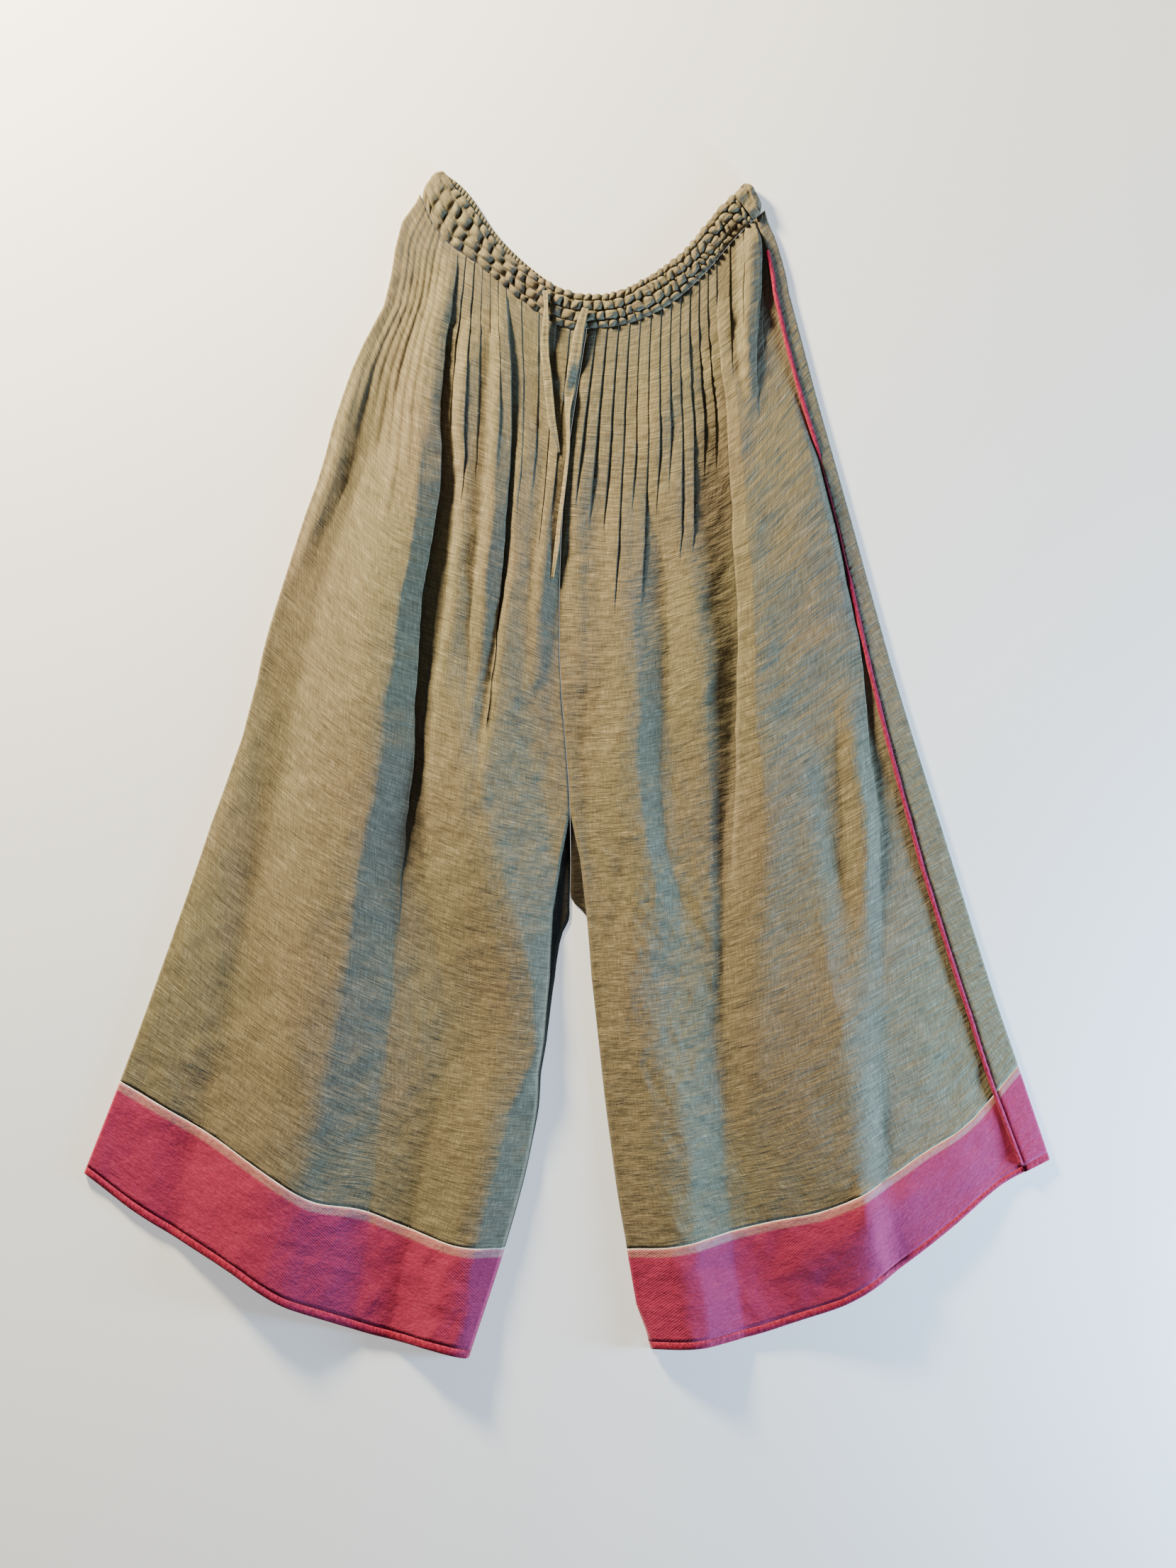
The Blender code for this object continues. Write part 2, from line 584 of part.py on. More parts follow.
def tie(name, route):
    """One free end of the drawstring."""
    keys = np.linspace(0.0, 1.0, len(route))
    points = table_line(keys, route, np.linspace(0.0, 1.0, 2 * len(route) - 1))
    return tube(name, points, TIE_RADIUS, "linen")


def main():
    """Clear the scene and build every piece."""
    for old in list(bpy.data.objects):
        bpy.data.objects.remove(old, do_unlink=True)
    bpy.context.scene.collection.children.link(bpy.data.collections.new("Flared trousers"))
    lower_rows = np.linspace(CROTCH_DOWN, BAND_DOWN, LOWER_ROWS + 1)[1:]
    leg_rows = np.concatenate([UPPER_ROWS, lower_rows])
    band_rows = np.linspace(BAND_DOWN + SEAM_GAP, HEM_DOWN - EDGE_WIDTH - SEAM_GAP, 4)
    edge_rows = np.linspace(HEM_DOWN - EDGE_WIDTH, HEM_DOWN, 3)
    for side in ("right", "left"):
        front_piece("front_" + side + "_leg", side, leg_rows, "linen")
        back_piece("back_" + side + "_leg", side, leg_rows, "linen")
        front_piece("hem_band_front_" + side, side, band_rows, "pink twill")
        back_piece("hem_band_back_" + side, side, band_rows, "pink twill")
        front_piece("hem_edge_front_" + side, side, edge_rows, "crimson", EDGE_BEAD)
        back_piece("hem_edge_back_" + side, side, edge_rows, "crimson")
    waistband_front()
    waistband_back()
    piping()
    tie("tie_right", TIE_RIGHT)
    tie("tie_left", TIE_LEFT)


main()
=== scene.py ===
"""Flared linen trousers laid flat, front up: the looks of every piece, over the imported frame.

The waist points to +Y and the wearer's left is +X. Tables are in millimetres, and meshes in metres.
"""
import math
from typing import NamedTuple

import bpy
import numpy as np
from bpy.props import FloatProperty, FloatVectorProperty, PointerProperty
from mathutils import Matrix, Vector


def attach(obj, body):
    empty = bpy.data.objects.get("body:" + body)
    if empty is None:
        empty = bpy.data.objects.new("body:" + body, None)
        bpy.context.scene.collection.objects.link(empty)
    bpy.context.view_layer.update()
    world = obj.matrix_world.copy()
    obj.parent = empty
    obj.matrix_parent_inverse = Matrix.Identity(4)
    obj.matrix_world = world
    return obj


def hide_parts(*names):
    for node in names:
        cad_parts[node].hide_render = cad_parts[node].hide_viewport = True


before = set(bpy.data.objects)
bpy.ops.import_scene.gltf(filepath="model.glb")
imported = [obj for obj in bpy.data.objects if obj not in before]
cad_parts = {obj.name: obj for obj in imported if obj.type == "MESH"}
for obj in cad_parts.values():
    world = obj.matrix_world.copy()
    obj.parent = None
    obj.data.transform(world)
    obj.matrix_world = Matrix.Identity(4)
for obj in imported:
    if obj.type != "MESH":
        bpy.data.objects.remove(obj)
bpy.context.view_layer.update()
bpy.ops.object.select_all(action="DESELECT")

bl_info = {
    "name": "Flared Linen Trousers",
    "version": (1, 0, 0),
    "blender": (4, 5, 0),
    "location": "View3D > Sidebar > Trousers",
    "description": "Cloth, hems, piping, shirred waist and ties of flared trousers laid flat",
    "category": "Object",
}

MM = 0.001
MIDDLE = (-0.3, 1.5, 0.0)

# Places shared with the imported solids
SEAM_GAP = 0.4
WAIST_GAP = 0.6
FOLD_RADIUS = 2.2
FRONT_LEVEL = 2 * FOLD_RADIUS
INSEAM_LEVEL = 3.4
SIDE_SEAM_UNDER = 27.0
CROTCH_DOWN = 414.0
CENTRE_SEAM_SHARE = 0.3
SHORT_STEP = 0.01
BACK_TURN = 0.93
BAND_LEVEL = 5.4
BAND_PEEK = 5.5
BAND_SEAM = 0.952
BAND_ROLL_RADIUS = 6.0
BAND_START = 0.012
BAND_CORNER = 5.2
BAND_DOWN = 795.0
HEM_DOWN = 876.0
EDGE_WIDTH = 6.0

# Fine grids of the cloth
ROW_STEP = 3.0
INSEAM_SLOPE = 3.0
SEAM_SLOPE = 5.0
FOLDS_START = 14.0
EDGE_HALF = 0.15
TUCK_STOPS = (0.0, 0.20, 0.40, 0.60, 0.77, 0.84, 0.862, 0.92)
TUCK_EDGE = 0.85
TUCK_GROOVE = 0.862
# Half width of a tuck's painted shade line (share of the tuck); reach of painted shade beside sharp edges
PAINTED_LINE_HALF = 0.05
SHADE_REACH = 11.0
TUCK_FADE = 60.0

# Surface of the cloth: a tuck's lap, a front's least height, its waves, small creases and rolled edge
TUCK_LAP = 1.3
LEAST_HEIGHT = 2.6
FRONT_SEED = 3
BACK_SEED = 40
BACK_COLUMNS = 70
BACK_WAVE = 0.35
CREASE_COUNT = 260
CREASE_SEED = 17
HEM_BEAD = 0.9

# Rows and columns of the pieces' grids, and of the grid that the sharp edges are looked up on
HEM_ROWS = 24
ROLL_ROWS = 7
BACK_ROWS = 150
BAND_COLUMNS = 460
BAND_BACK_COLUMNS = 420
PIPING_ROWS = 260
TIE_ROWS = 90
EDGE_ROWS = 251
EDGE_COLUMNS = 201

# Faces of the folds: share rounded at the crest on the left, on the right and above a sharp edge, and at
# the foot; then the height of a sharp edge for a full shade beside it, and the most shade there may be
CREST_LEFT = 0.45
CREST_RIGHT = 0.16
CREST_SHARP = 0.15
FOOT_ROUND = 0.1
SHADE_HEIGHT = 14.0
SHADE_MOST = 0.9

# Sharp edges across a leg: the last share they reach, the least share between two, and the row that
# tells their order
LAST_EDGE = 0.96
EDGE_SPACE = 0.04
EDGE_ORDER_ROW = 30

# Waistband: its width on the cloth's map, how much longer its cloth is there than the band, and its
# thickness
BAND_CLOTH_WIDTH = 34.0
BAND_CLOTH_RUN = 1.9
BAND_WALL = 0.8

# Gathers of the waistband: the length they are counted over, how much a row's edges wander, how much the
# gathers' distances and sizes vary, how far they lean and bow, how square a puff is along and over the
# band, and the share of its height that is left in a gather
BAND_LENGTH = 440
ROW_WANDER = 0.035
PITCH_SPREAD = (0.65, 1.35)
PUFF_SPREAD = (0.65, 1.15)
GATHER_LEAN = 12.0
GATHER_BOW = 1.5
PUFF_ROUND_ALONG = 2.0
PUFF_ROUND_OVER = 3.4
PUFF_LEAST = 0.12

# Piping: radius, rise over the front, drop where it is hidden, and sides of its tube
PIPING_RADIUS = 1.9
PIPING_RISE = 2.6
PIPING_HIDDEN = 1.6
PIPING_SIDES = 10

WAIST = (
    (-125.4, 483.3, -110.4, 505.5),
    (-107.4, 447.9, -85.2, 484.5),
    (-74.4, 422.7, -60.0, 448.5),
    (-42.6, 396.3, -30.6, 419.7),
    (-10.8, 373.5, -3.0, 401.7),
    (16.2, 369.3, 22.2, 396.9),
    (52.2, 374.1, 46.2, 401.1),
    (86.4, 390.3, 74.4, 416.1),
    (116.4, 416.7, 100.2, 435.9),
    (143.4, 447.9, 125.4, 466.5),
    (166.8, 469.5, 153.6, 495.3),
)

SECTION_DOWN = (0, 132, 264, CROTCH_DOWN, 552, 678, BAND_DOWN, HEM_DOWN)

# Even points x, y of each section, from the inner edge to the outer fold
SECTIONS = {
    "right": (
        ((-2.4, 238.5), (-27.6, 253.5), (-66.6, 280.5), (-129.6, 310.5), (-168.6, 364.5)),
        ((-7.2, 103.5), (-45.6, 124.5), (-96.6, 148.5), (-159.6, 178.5), (-212.4, 238.5)),
        ((1.8, -40.5), (-57.6, -25.5), (-123.6, -1.5), (-192.6, 34.5), (-258.6, 94.5)),
        ((-15.0, -181.5), (-81.6, -169.5), (-150.6, -139.5), (-225.6, -100.5), (-298.2, -40.5)),
        ((-28.2, -307.5), (-105.6, -298.5), (-180.6, -271.5), (-261.6, -223.5), (-338.4, -158.1)),
        ((-53.4, -409.5), (-94.2, -406.5), (-134.7, -392.7), (-175.4, -377.1), (-216.0, -368.7),
         (-256.7, -344.1), (-297.3, -316.5), (-338.0, -292.5), (-378.6, -268.5)),
        ((-83.4, -502.5), (-124.2, -492.9), (-165.0, -483.6), (-205.8, -470.1), (-246.3, -454.2),
         (-287.0, -428.1), (-327.7, -403.5), (-368.4, -378.1), (-409.2, -346.5)),
    ),
    "left": (
        ((-2.4, 238.5), (50.4, 232.5), (95.4, 238.5), (141.6, 262.5), (203.4, 337.5)),
        ((-7.2, 103.5), (47.4, 103.5), (98.4, 118.5), (155.4, 142.5), (238.8, 211.5)),
        ((1.8, -40.5), (59.4, -37.5), (119.4, -22.5), (188.4, 7.5), (279.0, 67.5)),
        ((19.8, -180.3), (80.4, -175.5), (146.4, -157.5), (224.4, -121.5), (320.4, -65.7)),
        ((34.2, -307.5), (95.4, -301.5), (164.4, -283.5), (257.4, -241.5), (357.6, -184.5)),
        ((50.4, -410.7), (91.8, -406.8), (133.2, -396.6), (174.6, -386.1), (216.0, -376.4),
         (257.4, -356.7), (298.8, -329.1), (340.2, -302.1), (381.6, -255.3)),
        ((71.4, -495.3), (113.4, -492.7), (155.7, -484.5), (197.9, -470.2), (240.0, -453.5),
         (282.0, -425.1), (324.3, -392.7), (366.5, -357.3), (408.6, -335.1)),
    ),
}

# How far the outer fold stands out of the sections' smooth line: y, and its shift in x
OUTER_TRIM = {
    "right": ((-50, -0.8), (-25, 0.7), (0, 2.0), (22, 3.5), (70, 2.3), (95, 0), (118, -1.0), (214, -1.0),
              (238, 0), (262, -0.9), (286, -3.2), (310, -3.7), (334, -3.8), (358, -1.5), (365, 0),
              (376, 1.8), (388, 4.0), (400, 2.7), (412, 1.3), (424, -1.2), (436, -3.8), (448, -5.2),
              (460, -6.6), (472, -5.4), (483, 0)),
    "left": ((310, 0), (364, 0.9), (400, 1.3), (412, 2.8), (424, 3.0), (448, 2.5), (460, 0.4), (480, 0)),
}
TRIM_START = 0.6
TRIM_DOWN = 30.0

# How far the inner edge stands out of it: y, and its shift in x
INNER_TRIM = {
    "right": ((-290, 0), (-262, -2.2), (-235, 0), (-181, 0), (-125, -5.0), (-80, -4.0), (-42, 0)),
    "left": ((-480, -1.5), (-458, -4.0), (-433, -2.0), (-400, 0), (-181, 0), (-125, 3.0), (-80, 4.0),
             (-42, 0)),
}
INNER_TRIM_END = 0.25


class Station(NamedTuple):
    """A fold at one height y: x of its left foot, crest and right foot, its height, the share of that
    height that drops at once at the right foot (less than 0: at the left foot), and the edge's lap."""
    y: float
    left: float
    crest: float
    right: float
    height: float = 0.0
    drop: float = 0.0
    lap: float = 0.0


# Rows of every fold: y, left foot, crest, right foot, height, drop, lap. What is left out is 0
FOLD_ROWS = {
    "right": (
        # the large fold beside the outer half
        ((440, -112, -98, -92, 0, .6, 1), (400, -118, -104, -98, 4.5, .6, 1.5),
         (358, -134, -112, -104, 7.5, .6, 2), (292, -155, -119, -110, 12, .6, 3),
         (240, -178, -125, -110, 17, .5, 3), (139, -215, -141, -126, 21.5, .45, 3),
         (60, -232, -154, -131, 23.2, .35, 3), (-6, -244, -160, -133, 23.2, .3, 2.5),
         (-76, -262, -178, -140, 22, .1, 1), (-150, -279, -188, -144, 21), (-177, -285, -192, -145, 20.7),
         (-277, -310, -210, -155, 19.5), (-370, -335, -232, -163, 18.3), (-437, -350, -241, -172, 18.3),
         (-510, -362, -252, -184, 18.3)),
        # the broad panel between the large fold and the thin one
        ((380, -88, -80, -60), (330, -98, -90, -58, 6.9), (234, -97, -88, -50, 9.2),
         (177, -101, -91, -52, 9.2), (120, -109, -98, -60, 8), (59, -121, -108, -66, 6.9),
         (-6, -127, -112, -72, 4.6), (-60, -134, -115, -80)),
        # the thin fold
        ((400, -62, -54, -52, 0, .5, 1), (341, -68, -57, -50, 6.9, .6, 2),
         (250, -72, -60, -51, 8.6, .6, 2.5), (197, -76, -65, -55, 9.2, .6, 2.5),
         (155, -80, -69, -58, 9.2, .55, 2), (108, -84, -72, -62, 6.9, .5, 1.5),
         (64, -86, -75, -65, 3.4, .4, 1), (24, -90, -79, -70, 0, .4)),
        # the panel that falls from the thin fold to the centre
        ((300, -50, -40, -16), (240, -49, -42, -10, 4), (160, -56, -48, -10, 6), (80, -66, -58, -10, 7),
         (10, -76, -66, -12, 4), (-40, -82, -70, -20)),
        # the raised strip beside the centre seam
        ((330, -20, -11, -2), (250, -22, -12, -1, 3.4), (196, -26, -16, -4, 4.6),
         (145, -32, -22, -8, 4.6), (90, -36, -24, -8, 2.3), (40, -38, -26, -8)),
        # the inner fold
        ((90, -112, -90, -60), (40, -118, -87, -44, 7), (4, -122, -82, -26, 13),
         (-56, -124, -68, -12, 18), (-106, -120, -54, -8, 18.5), (-156, -114, -40, -10, 17),
         (-207, -107, -27, -12, 14), (-250, -106, -30, -14, 13.4), (-271, -110, -40, -16, 13.4),
         (-327, -122, -61, -24, 14.6), (-397, -138, -80, -42, 14.6), (-450, -148, -87, -56, 14.6),
         (-520, -160, -96, -72, 14.6)),
        # the rim and the low ridge of the outer half
        ((365, -182, -167, -157), (319, -204, -180, -167, 3.6), (250, -238, -197, -182, 4.2),
         (190, -262, -221, -206, 3), (140, -286, -240, -222)),
        ((60, -275, -252, -215), (-80, -318, -285, -240, 3), (-240, -355, -318, -262, 3),
         (-330, -376, -340, -284)),
    ),
    "left": (
        # the inner fold
        ((235, 30, 49, 68), (185, 18, 51, 78, 4.6), (110, 14, 54, 82, 9.2), (51, 12, 56, 81, 11),
         (-24, 12, 59, 79, 12.2), (-100, 18, 72, 92, 12.2), (-150, 20, 69, 112, 12.2),
         (-203, 24, 66, 125, 13.4), (-273, 30, 89, 131, 14.6), (-322, 36, 99, 134, 15.9),
         (-407, 50, 107, 141, 17.1), (-520, 66, 118, 156, 17.1)),
        # the face that falls into the hollow beside the side part
        ((372, 56, 78, 118), (330, 54, 82, 124, 4), (275, 56, 86, 132, 6.5), (230, 64, 92, 136, 7.5),
         (160, 82, 107, 139, 9), (120, 84, 112, 142, 10.5), (60, 84, 114, 142, 11.5),
         (0, 86, 118, 138, 9), (-60, 90, 119, 134, 6), (-110, 92, 119, 132, 4.5), (-180, 94, 119, 131, 3),
         (-250, 96, 120, 132)),
        # the low ridge between the hollow and the third stripe
        ((20, 128, 158, 196), (-60, 130, 164, 206, 5), (-170, 131, 166, 212, 6.5),
         (-280, 133, 170, 218, 5.5), (-380, 140, 180, 228, 3.5), (-460, 150, 190, 238)),
        # the side part, which lies over the tucked part
        ((395, 126, 134, 176, 0, -.5, 1), (337, 131, 140, 192, 8, -.6, 2),
         (291, 137, 146, 207, 13, -.65, 3), (254, 140, 149, 224, 16.5, -.7, 3.5),
         (190, 143, 153, 236, 19, -.7, 4), (125, 147, 158, 243, 18.5, -.65, 4),
         (46, 145, 159, 251, 17, -.55, 3), (-10, 144, 164, 256, 13, -.4, 2),
         (-60, 140, 170, 254, 8, -.15, 1), (-110, 138, 178, 248, 3), (-150, 140, 180, 240)),
        # the third stripe
        ((40, 122, 194, 206), (-30, 122, 203, 218, 7), (-60, 122, 208, 224, 9.5),
         (-140, 124, 217, 242, 12), (-240, 130, 228, 262, 14.5), (-352, 144, 241, 268, 13.5),
         (-450, 162, 253, 280, 11), (-520, 172, 260, 288, 10)),
        # the fourth stripe
        ((60, 224, 238, 250), (1, 228, 246, 260, 8.5), (-60, 232, 250, 264, 10), (-140, 230, 250, 266, 8),
         (-240, 226, 250, 267, 5.5), (-352, 239, 255, 272, 5), (-450, 251, 266, 284, 2.5),
         (-500, 260, 272, 290)),
        # the plane that falls to the piping
        ((-10, 200, 258, 280), (-60, 190, 260, 286, 4), (-130, 180, 264, 308, 9),
         (-200, 170, 268, 334, 12), (-300, 168, 273, 362, 12), (-400, 176, 284, 378, 10),
         (-490, 186, 296, 390, 6)),
        # the slanting crease of the hem band
        ((-276, 322, 366, 392), (-304, 296, 346, 388, 3), (-344, 258, 308, 366, 5),
         (-384, 210, 258, 324, 5), (-414, 180, 224, 286, 3), (-440, 160, 196, 250)),
        # the edge of the side part, which lies over the piping
        ((330, 150, 190, 199, 0, .6, 1), (290, 152, 200, 207, 5, .6, 2), (260, 156, 215, 221, 7, .7, 3),
         (175, 164, 231, 238, 7.5, .7, 3), (125, 172, 236, 243, 7.5, .7, 3),
         (60, 184, 242, 250, 7, .6, 2), (25, 196, 245, 253.5, 6, .5, 1), (-40, 214, 248, 262, 2, .3),
         (-80, 222, 252, 266, 0, .2)),
        # the loose fold under the waistband
        ((484, 140, 150, 158, 0, .5, 1), (462, 142, 152, 160, 8, .6, 2),
         (420, 143, 154, 162, 11, .6, 2.5), (370, 144, 154, 160, 9.2, .5, 2),
         (322, 146, 154, 159, 4.6, .4, 1), (292, 148, 156, 161, 0, .3)),
        # the raised strip beside the centre seam
        ((330, 2, 11, 24), (200, -2, 9, 26, 2.9), (80, -4, 10, 28, 2.3), (20, 0, 14, 30)),
    ),
}
FOLDS = {side: [[Station(*row) for row in fold] for fold in folds] for side, folds in FOLD_ROWS.items()}

# Tucks of each front between its sharp edges, from the centre out: how far down each one ends
TUCK_ENDS = {
    "right": ((150, 178, 205, 170, 190), (215, 160, 235, 180, 210, 170),
              (190, 235, 200, 260, 215, 250, 190, 225, 170)),
    "left": ((160, 172, 176, 245, 158, 246, 162, 142, 212, 205, 140, 140, 134), (85, 70, 90),
             (95, 80, 70), ()),
}
TUCK_DEPTH = {"right": (0.5, 0.55, 0.7), "left": (0.9, 0.7, 0.6, 0)}

# Least and most share of that depth that single tucks have
TUCK_SPREAD = {"right": (0.25, 1.4), "left": (0.75, 1.15)}

# Groups of tucks that are pressed into soft ribs
TUCK_SOFT = {"right": (False, False, True), "left": (False, False, False, False)}

# Plain columns of each front between its sharp edges, where there are no tucks
PLAIN_COLUMNS = {"right": (36, 44, 70), "left": (84, 22, 18, 12)}

# Piped seam of the left leg: how far down, and how far in from the outer fold
PIPED_SEAM = ((0, 11.5), (100, 10.0), (200, 7.5), (270, 8.5), (400, 13.5), (560, 19.0), (700, 19.5),
              (876, 24.5))

# How far each back reaches past its front's inner edge: down, right leg, left leg
CROTCH_REACH = ((0, 0, 0), (CROTCH_DOWN, 1, 1), (484, 1, 1), (490, 1, 0.75), (496, 1, 0.3), (502, 0.95, 0),
                (512, 0.62, 0), (522, 0.45, 0), (540, 0.3, 0), (560, 0.2, 0), (600, 0.1, 0), (690, 0.02, 0),
                (876, 0, 0))


class RibbonStop(NamedTuple):
    """A place on a tie: x, y, z, its width, and how far it is turned on edge, in degrees."""
    x: float
    y: float
    z: float
    width: float
    turn: float


TIE_RIGHT = [RibbonStop(*row) for row in (
    (-19.2, 399.9, 12.3, 5.5, -30), (-18.3, 388.5, 12.0, 5.5, -55), (-18.6, 373.5, 10.6, 6.5, -35),
    (-19.6, 358.5, 8.5, 7.4, -20), (-19.2, 343.5, 8.9, 7.6, -18), (-17.4, 328.5, 9.6, 7.6, -18),
    (-15.6, 310.5, 9.6, 7.4, -16), (-13.8, 292.5, 10.4, 6.8, -14), (-11.0, 277.5, 10.2, 5.5, -10),
    (-7.2, 263.0, 9.6, 1.6, 0),
)]
TIE_LEFT = [RibbonStop(*row) for row in (
    (14.9, 384.9, 12.0, 6.0, -20), (10.2, 368.1, 10.7, 8.2, -15), (6.6, 346.5, 8.9, 9.8, -12),
    (3.0, 325.5, 9.2, 9.2, 28), (0.2, 300.9, 9.2, 7.5, -50), (0.4, 268.5, 9.2, 6.0, -68),
    (-2.0, 245.1, 9.0, 6.0, -62), (-7.2, 203.7, 9.0, 6.0, -55), (-9.4, 183.3, 8.8, 5.5, -45),
    (-13.2, 156.9, 8.6, 3.0, -30),
)]
TIE_DIAMETER = 7.0
TIE_CLOTH = 1.0
TIE_DROP = 0.9

# Share of its own thickness that the piping shows, by y: part of it is hidden by the side part's edge
PIPING_SHOWN = ((150, 1.0), (168, 0.4), (255, 0.3), (272, 1.0))


class Crease(NamedTuple):
    """A small crease pressed into the cloth: its middle, direction in degrees, length, width and height."""
    x: float
    y: float
    angle: float
    length: float
    width: float
    height: float


class Rumple(NamedTuple):
    """A rumpled place of the cloth: its middle, its reach, its height and the size of its waves."""
    x: float
    y: float
    reach: float
    height: float
    size: float


RUMPLES = [Rumple(*row) for row in (
    (125, 330, 40, 1.5, 9), (140, 260, 26, 1.0, 9), (150, 390, 30, 1.3, 8), (-70, 380, 26, 1.0, 9),
    (-150, 400, 40, 0.8, 10), (200, 260, 30, 1.3, 16), (-30, 40, 60, 0.8, 16), (-300, -235, 30, 0.8, 9),
    (-330, -300, 50, 0.8, 14), (330, -250, 60, 0.8, 14), (110, -380, 60, 0.8, 13),
    (-120, -420, 60, 0.8, 13), (205, 150, 80, 2.4, 40), (195, 40, 80, 1.8, 36), (190, 255, 50, 1.8, 28),
    (75, -130, 70, 0.9, 7), (90, -230, 60, 0.9, 7), (-60, -60, 70, 0.7, 9),
)]

CREASES = [Crease(*row) for row in (
    (-295, -237, 55, 22, 4, 1.2), (-300, -243, 20, 18, 3, -1.0), (109, 347, -62, 44, 5, -2.4),
    (-205, -120, 12, 60, 7, 0.7), (-150, -330, -28, 40, 6, 0.7), (205, -250, 30, 60, 7, 0.8),
    (300, -300, 38, 70, 8, 0.8), (120, -350, 8, 50, 6, 0.7), (-330, -250, -20, 60, 7, 0.8),
    (60, -60, 15, 40, 5, 0.5), (-60, -380, -8, 36, 5, 0.6), (190, 60, -70, 80, 9, 0.8),
)]


class LinenSettings(bpy.types.PropertyGroup):
    """The linen of the legs, the waistband and the ties."""
    thread: FloatVectorProperty(name="Thread colour", description="Main colour of the flax threads",
                                subtype="COLOR", min=0.0, max=1.0, default=(0.205, 0.176, 0.110))
    dark: FloatVectorProperty(name="Dark thread", description="Colour of the darker threads and slubs",
                              subtype="COLOR", min=0.0, max=1.0, default=(0.085, 0.070, 0.042))
    pale: FloatVectorProperty(name="Pale slub", description="Colour of the pale slubs",
                              subtype="COLOR", min=0.0, max=1.0, default=(0.40, 0.365, 0.26))
    cloth: FloatProperty(name="Cloth", description="Thickness of the linen", unit="LENGTH",
                         subtype="DISTANCE", min=0.0003, max=0.0015, default=0.0007, precision=4)
    crumple: FloatProperty(name="Crumple", description="Height of the cloth's small waves", unit="LENGTH",
                           subtype="DISTANCE", min=0.0, max=0.004, default=0.0015, precision=4)


class BandSettings(bpy.types.PropertyGroup):
    """The shirred waistband."""
    pitch: FloatProperty(name="Gather", description="Distance between two gathers of a row of elastic",
                         unit="LENGTH", subtype="DISTANCE", min=0.004, max=0.02, default=0.0082,
                         precision=4)
    puff: FloatProperty(name="Puff", description="Height of the puffs between the gathers", unit="LENGTH",
                        subtype="DISTANCE", min=0.0, max=0.007, default=0.0050, precision=4)


class HemSettings(bpy.types.PropertyGroup):
    """The hem bands, their rolled edge and the piping."""
    twill: FloatVectorProperty(name="Twill", description="Colour of the pink twill", subtype="COLOR",
                               min=0.0, max=1.0, default=(0.36, 0.020, 0.085))
    stripe: FloatVectorProperty(name="Stripe", description="Colour of the narrow stripe at the band's top",
                                subtype="COLOR", min=0.0, max=1.0, default=(0.50, 0.30, 0.25))
    line: FloatVectorProperty(name="White line", description="Colour of the thin line above the stripe",
                              subtype="COLOR", min=0.0, max=1.0, default=(0.74, 0.68, 0.62))
    crimson: FloatVectorProperty(name="Crimson", description="Colour of the rolled edge and the piping",
                                 subtype="COLOR", min=0.0, max=1.0, default=(0.33, 0.008, 0.050))


class StudioSettings(bpy.types.PropertyGroup):
    """The lights and the floor."""
    key: FloatProperty(name="Warm light", description="Power of the warm light from the left", unit="POWER",
                       min=0.0, max=2000.0, default=128.0)
    fill: FloatProperty(name="Cool light", description="Power of the cool light from the right",
                        unit="POWER", min=0.0, max=2000.0, default=42.0)
    sky: FloatProperty(name="Ambient", description="Strength of the even light all round", min=0.0, max=3.0,
                       default=0.095)
    floor: FloatVectorProperty(name="Floor", description="Colour of the floor", subtype="COLOR", min=0.0,
                               max=1.0, default=(0.86, 0.86, 0.86))


def ease(value):
    """Smooth step from 0 to 1."""
    held = np.clip(value, 0.0, 1.0)
    return held * held * (3.0 - 2.0 * held)


def smooth(keys, rows, wanted):
    """Cubic through rows[:, i] at the rising keys, read at wanted[i]."""
    keys = np.asarray(keys, float)
    slopes = np.gradient(rows, keys, axis=0)
    below = np.clip(np.searchsorted(keys, wanted, side="right") - 1, 0, len(keys) - 2)
    span = (keys[below + 1] - keys[below])[:, None]
    part = (wanted - keys[below])[:, None] / span
    pick = np.arange(len(wanted))
    start, end = rows[below, pick], rows[below + 1, pick]
    leave, arrive = slopes[below, pick] * span, slopes[below + 1, pick] * span
    ahead = (1.0 - part) ** 2
    return (start * (1.0 + 2.0 * part) * ahead + leave * part * ahead
            + end * part ** 2 * (3.0 - 2.0 * part) + arrive * part ** 2 * (part - 1.0))


def unit(vectors):
    """Vectors at a length of one."""
    return vectors / np.linalg.norm(vectors, axis=1, keepdims=True)


def run_length(points):
    """Distance from the first point along a line of points."""
    return np.concatenate([[0.0], np.cumsum(np.linalg.norm(np.diff(points, axis=0), axis=1))])


def point_grid(place, height, rows, columns):
    """Places on the floor and their heights as a grid of points."""
    return np.column_stack([place, height]).reshape(rows, columns, 3)


def map_grid(across, down, rows, columns):
    """Places on the cloth as a grid."""
    return np.column_stack([across, down]).reshape(rows, columns, 2)


def line_frame(line):
    """Directions beside and above a line of points."""
    tangent = unit(np.gradient(line, axis=0))
    side = unit(np.cross(tangent, (0.0, 0.0, 1.0)))
    return side, np.cross(side, tangent)


def table_line(keys, values, wanted):
    """Smooth points along one line of points or numbers."""
    values = np.asarray(values, float)
    rows = np.repeat(values.reshape(len(values), 1, -1), len(wanted), axis=1)
    return smooth(keys, rows, wanted)


def column(table, index, wanted):
    """One column of a table whose first column rises, read between its rows."""
    return np.interp(wanted, [row[0] for row in table], [row[index] for row in table])


def waist_edges(along):
    """Lower and upper edge of the waistband; along runs from 0 at the wearer's right to 1 at the left."""
    keys = np.linspace(0.0, 1.0, len(WAIST))
    both = table_line(keys, WAIST, along)
    return both[:, :2], both[:, 2:]


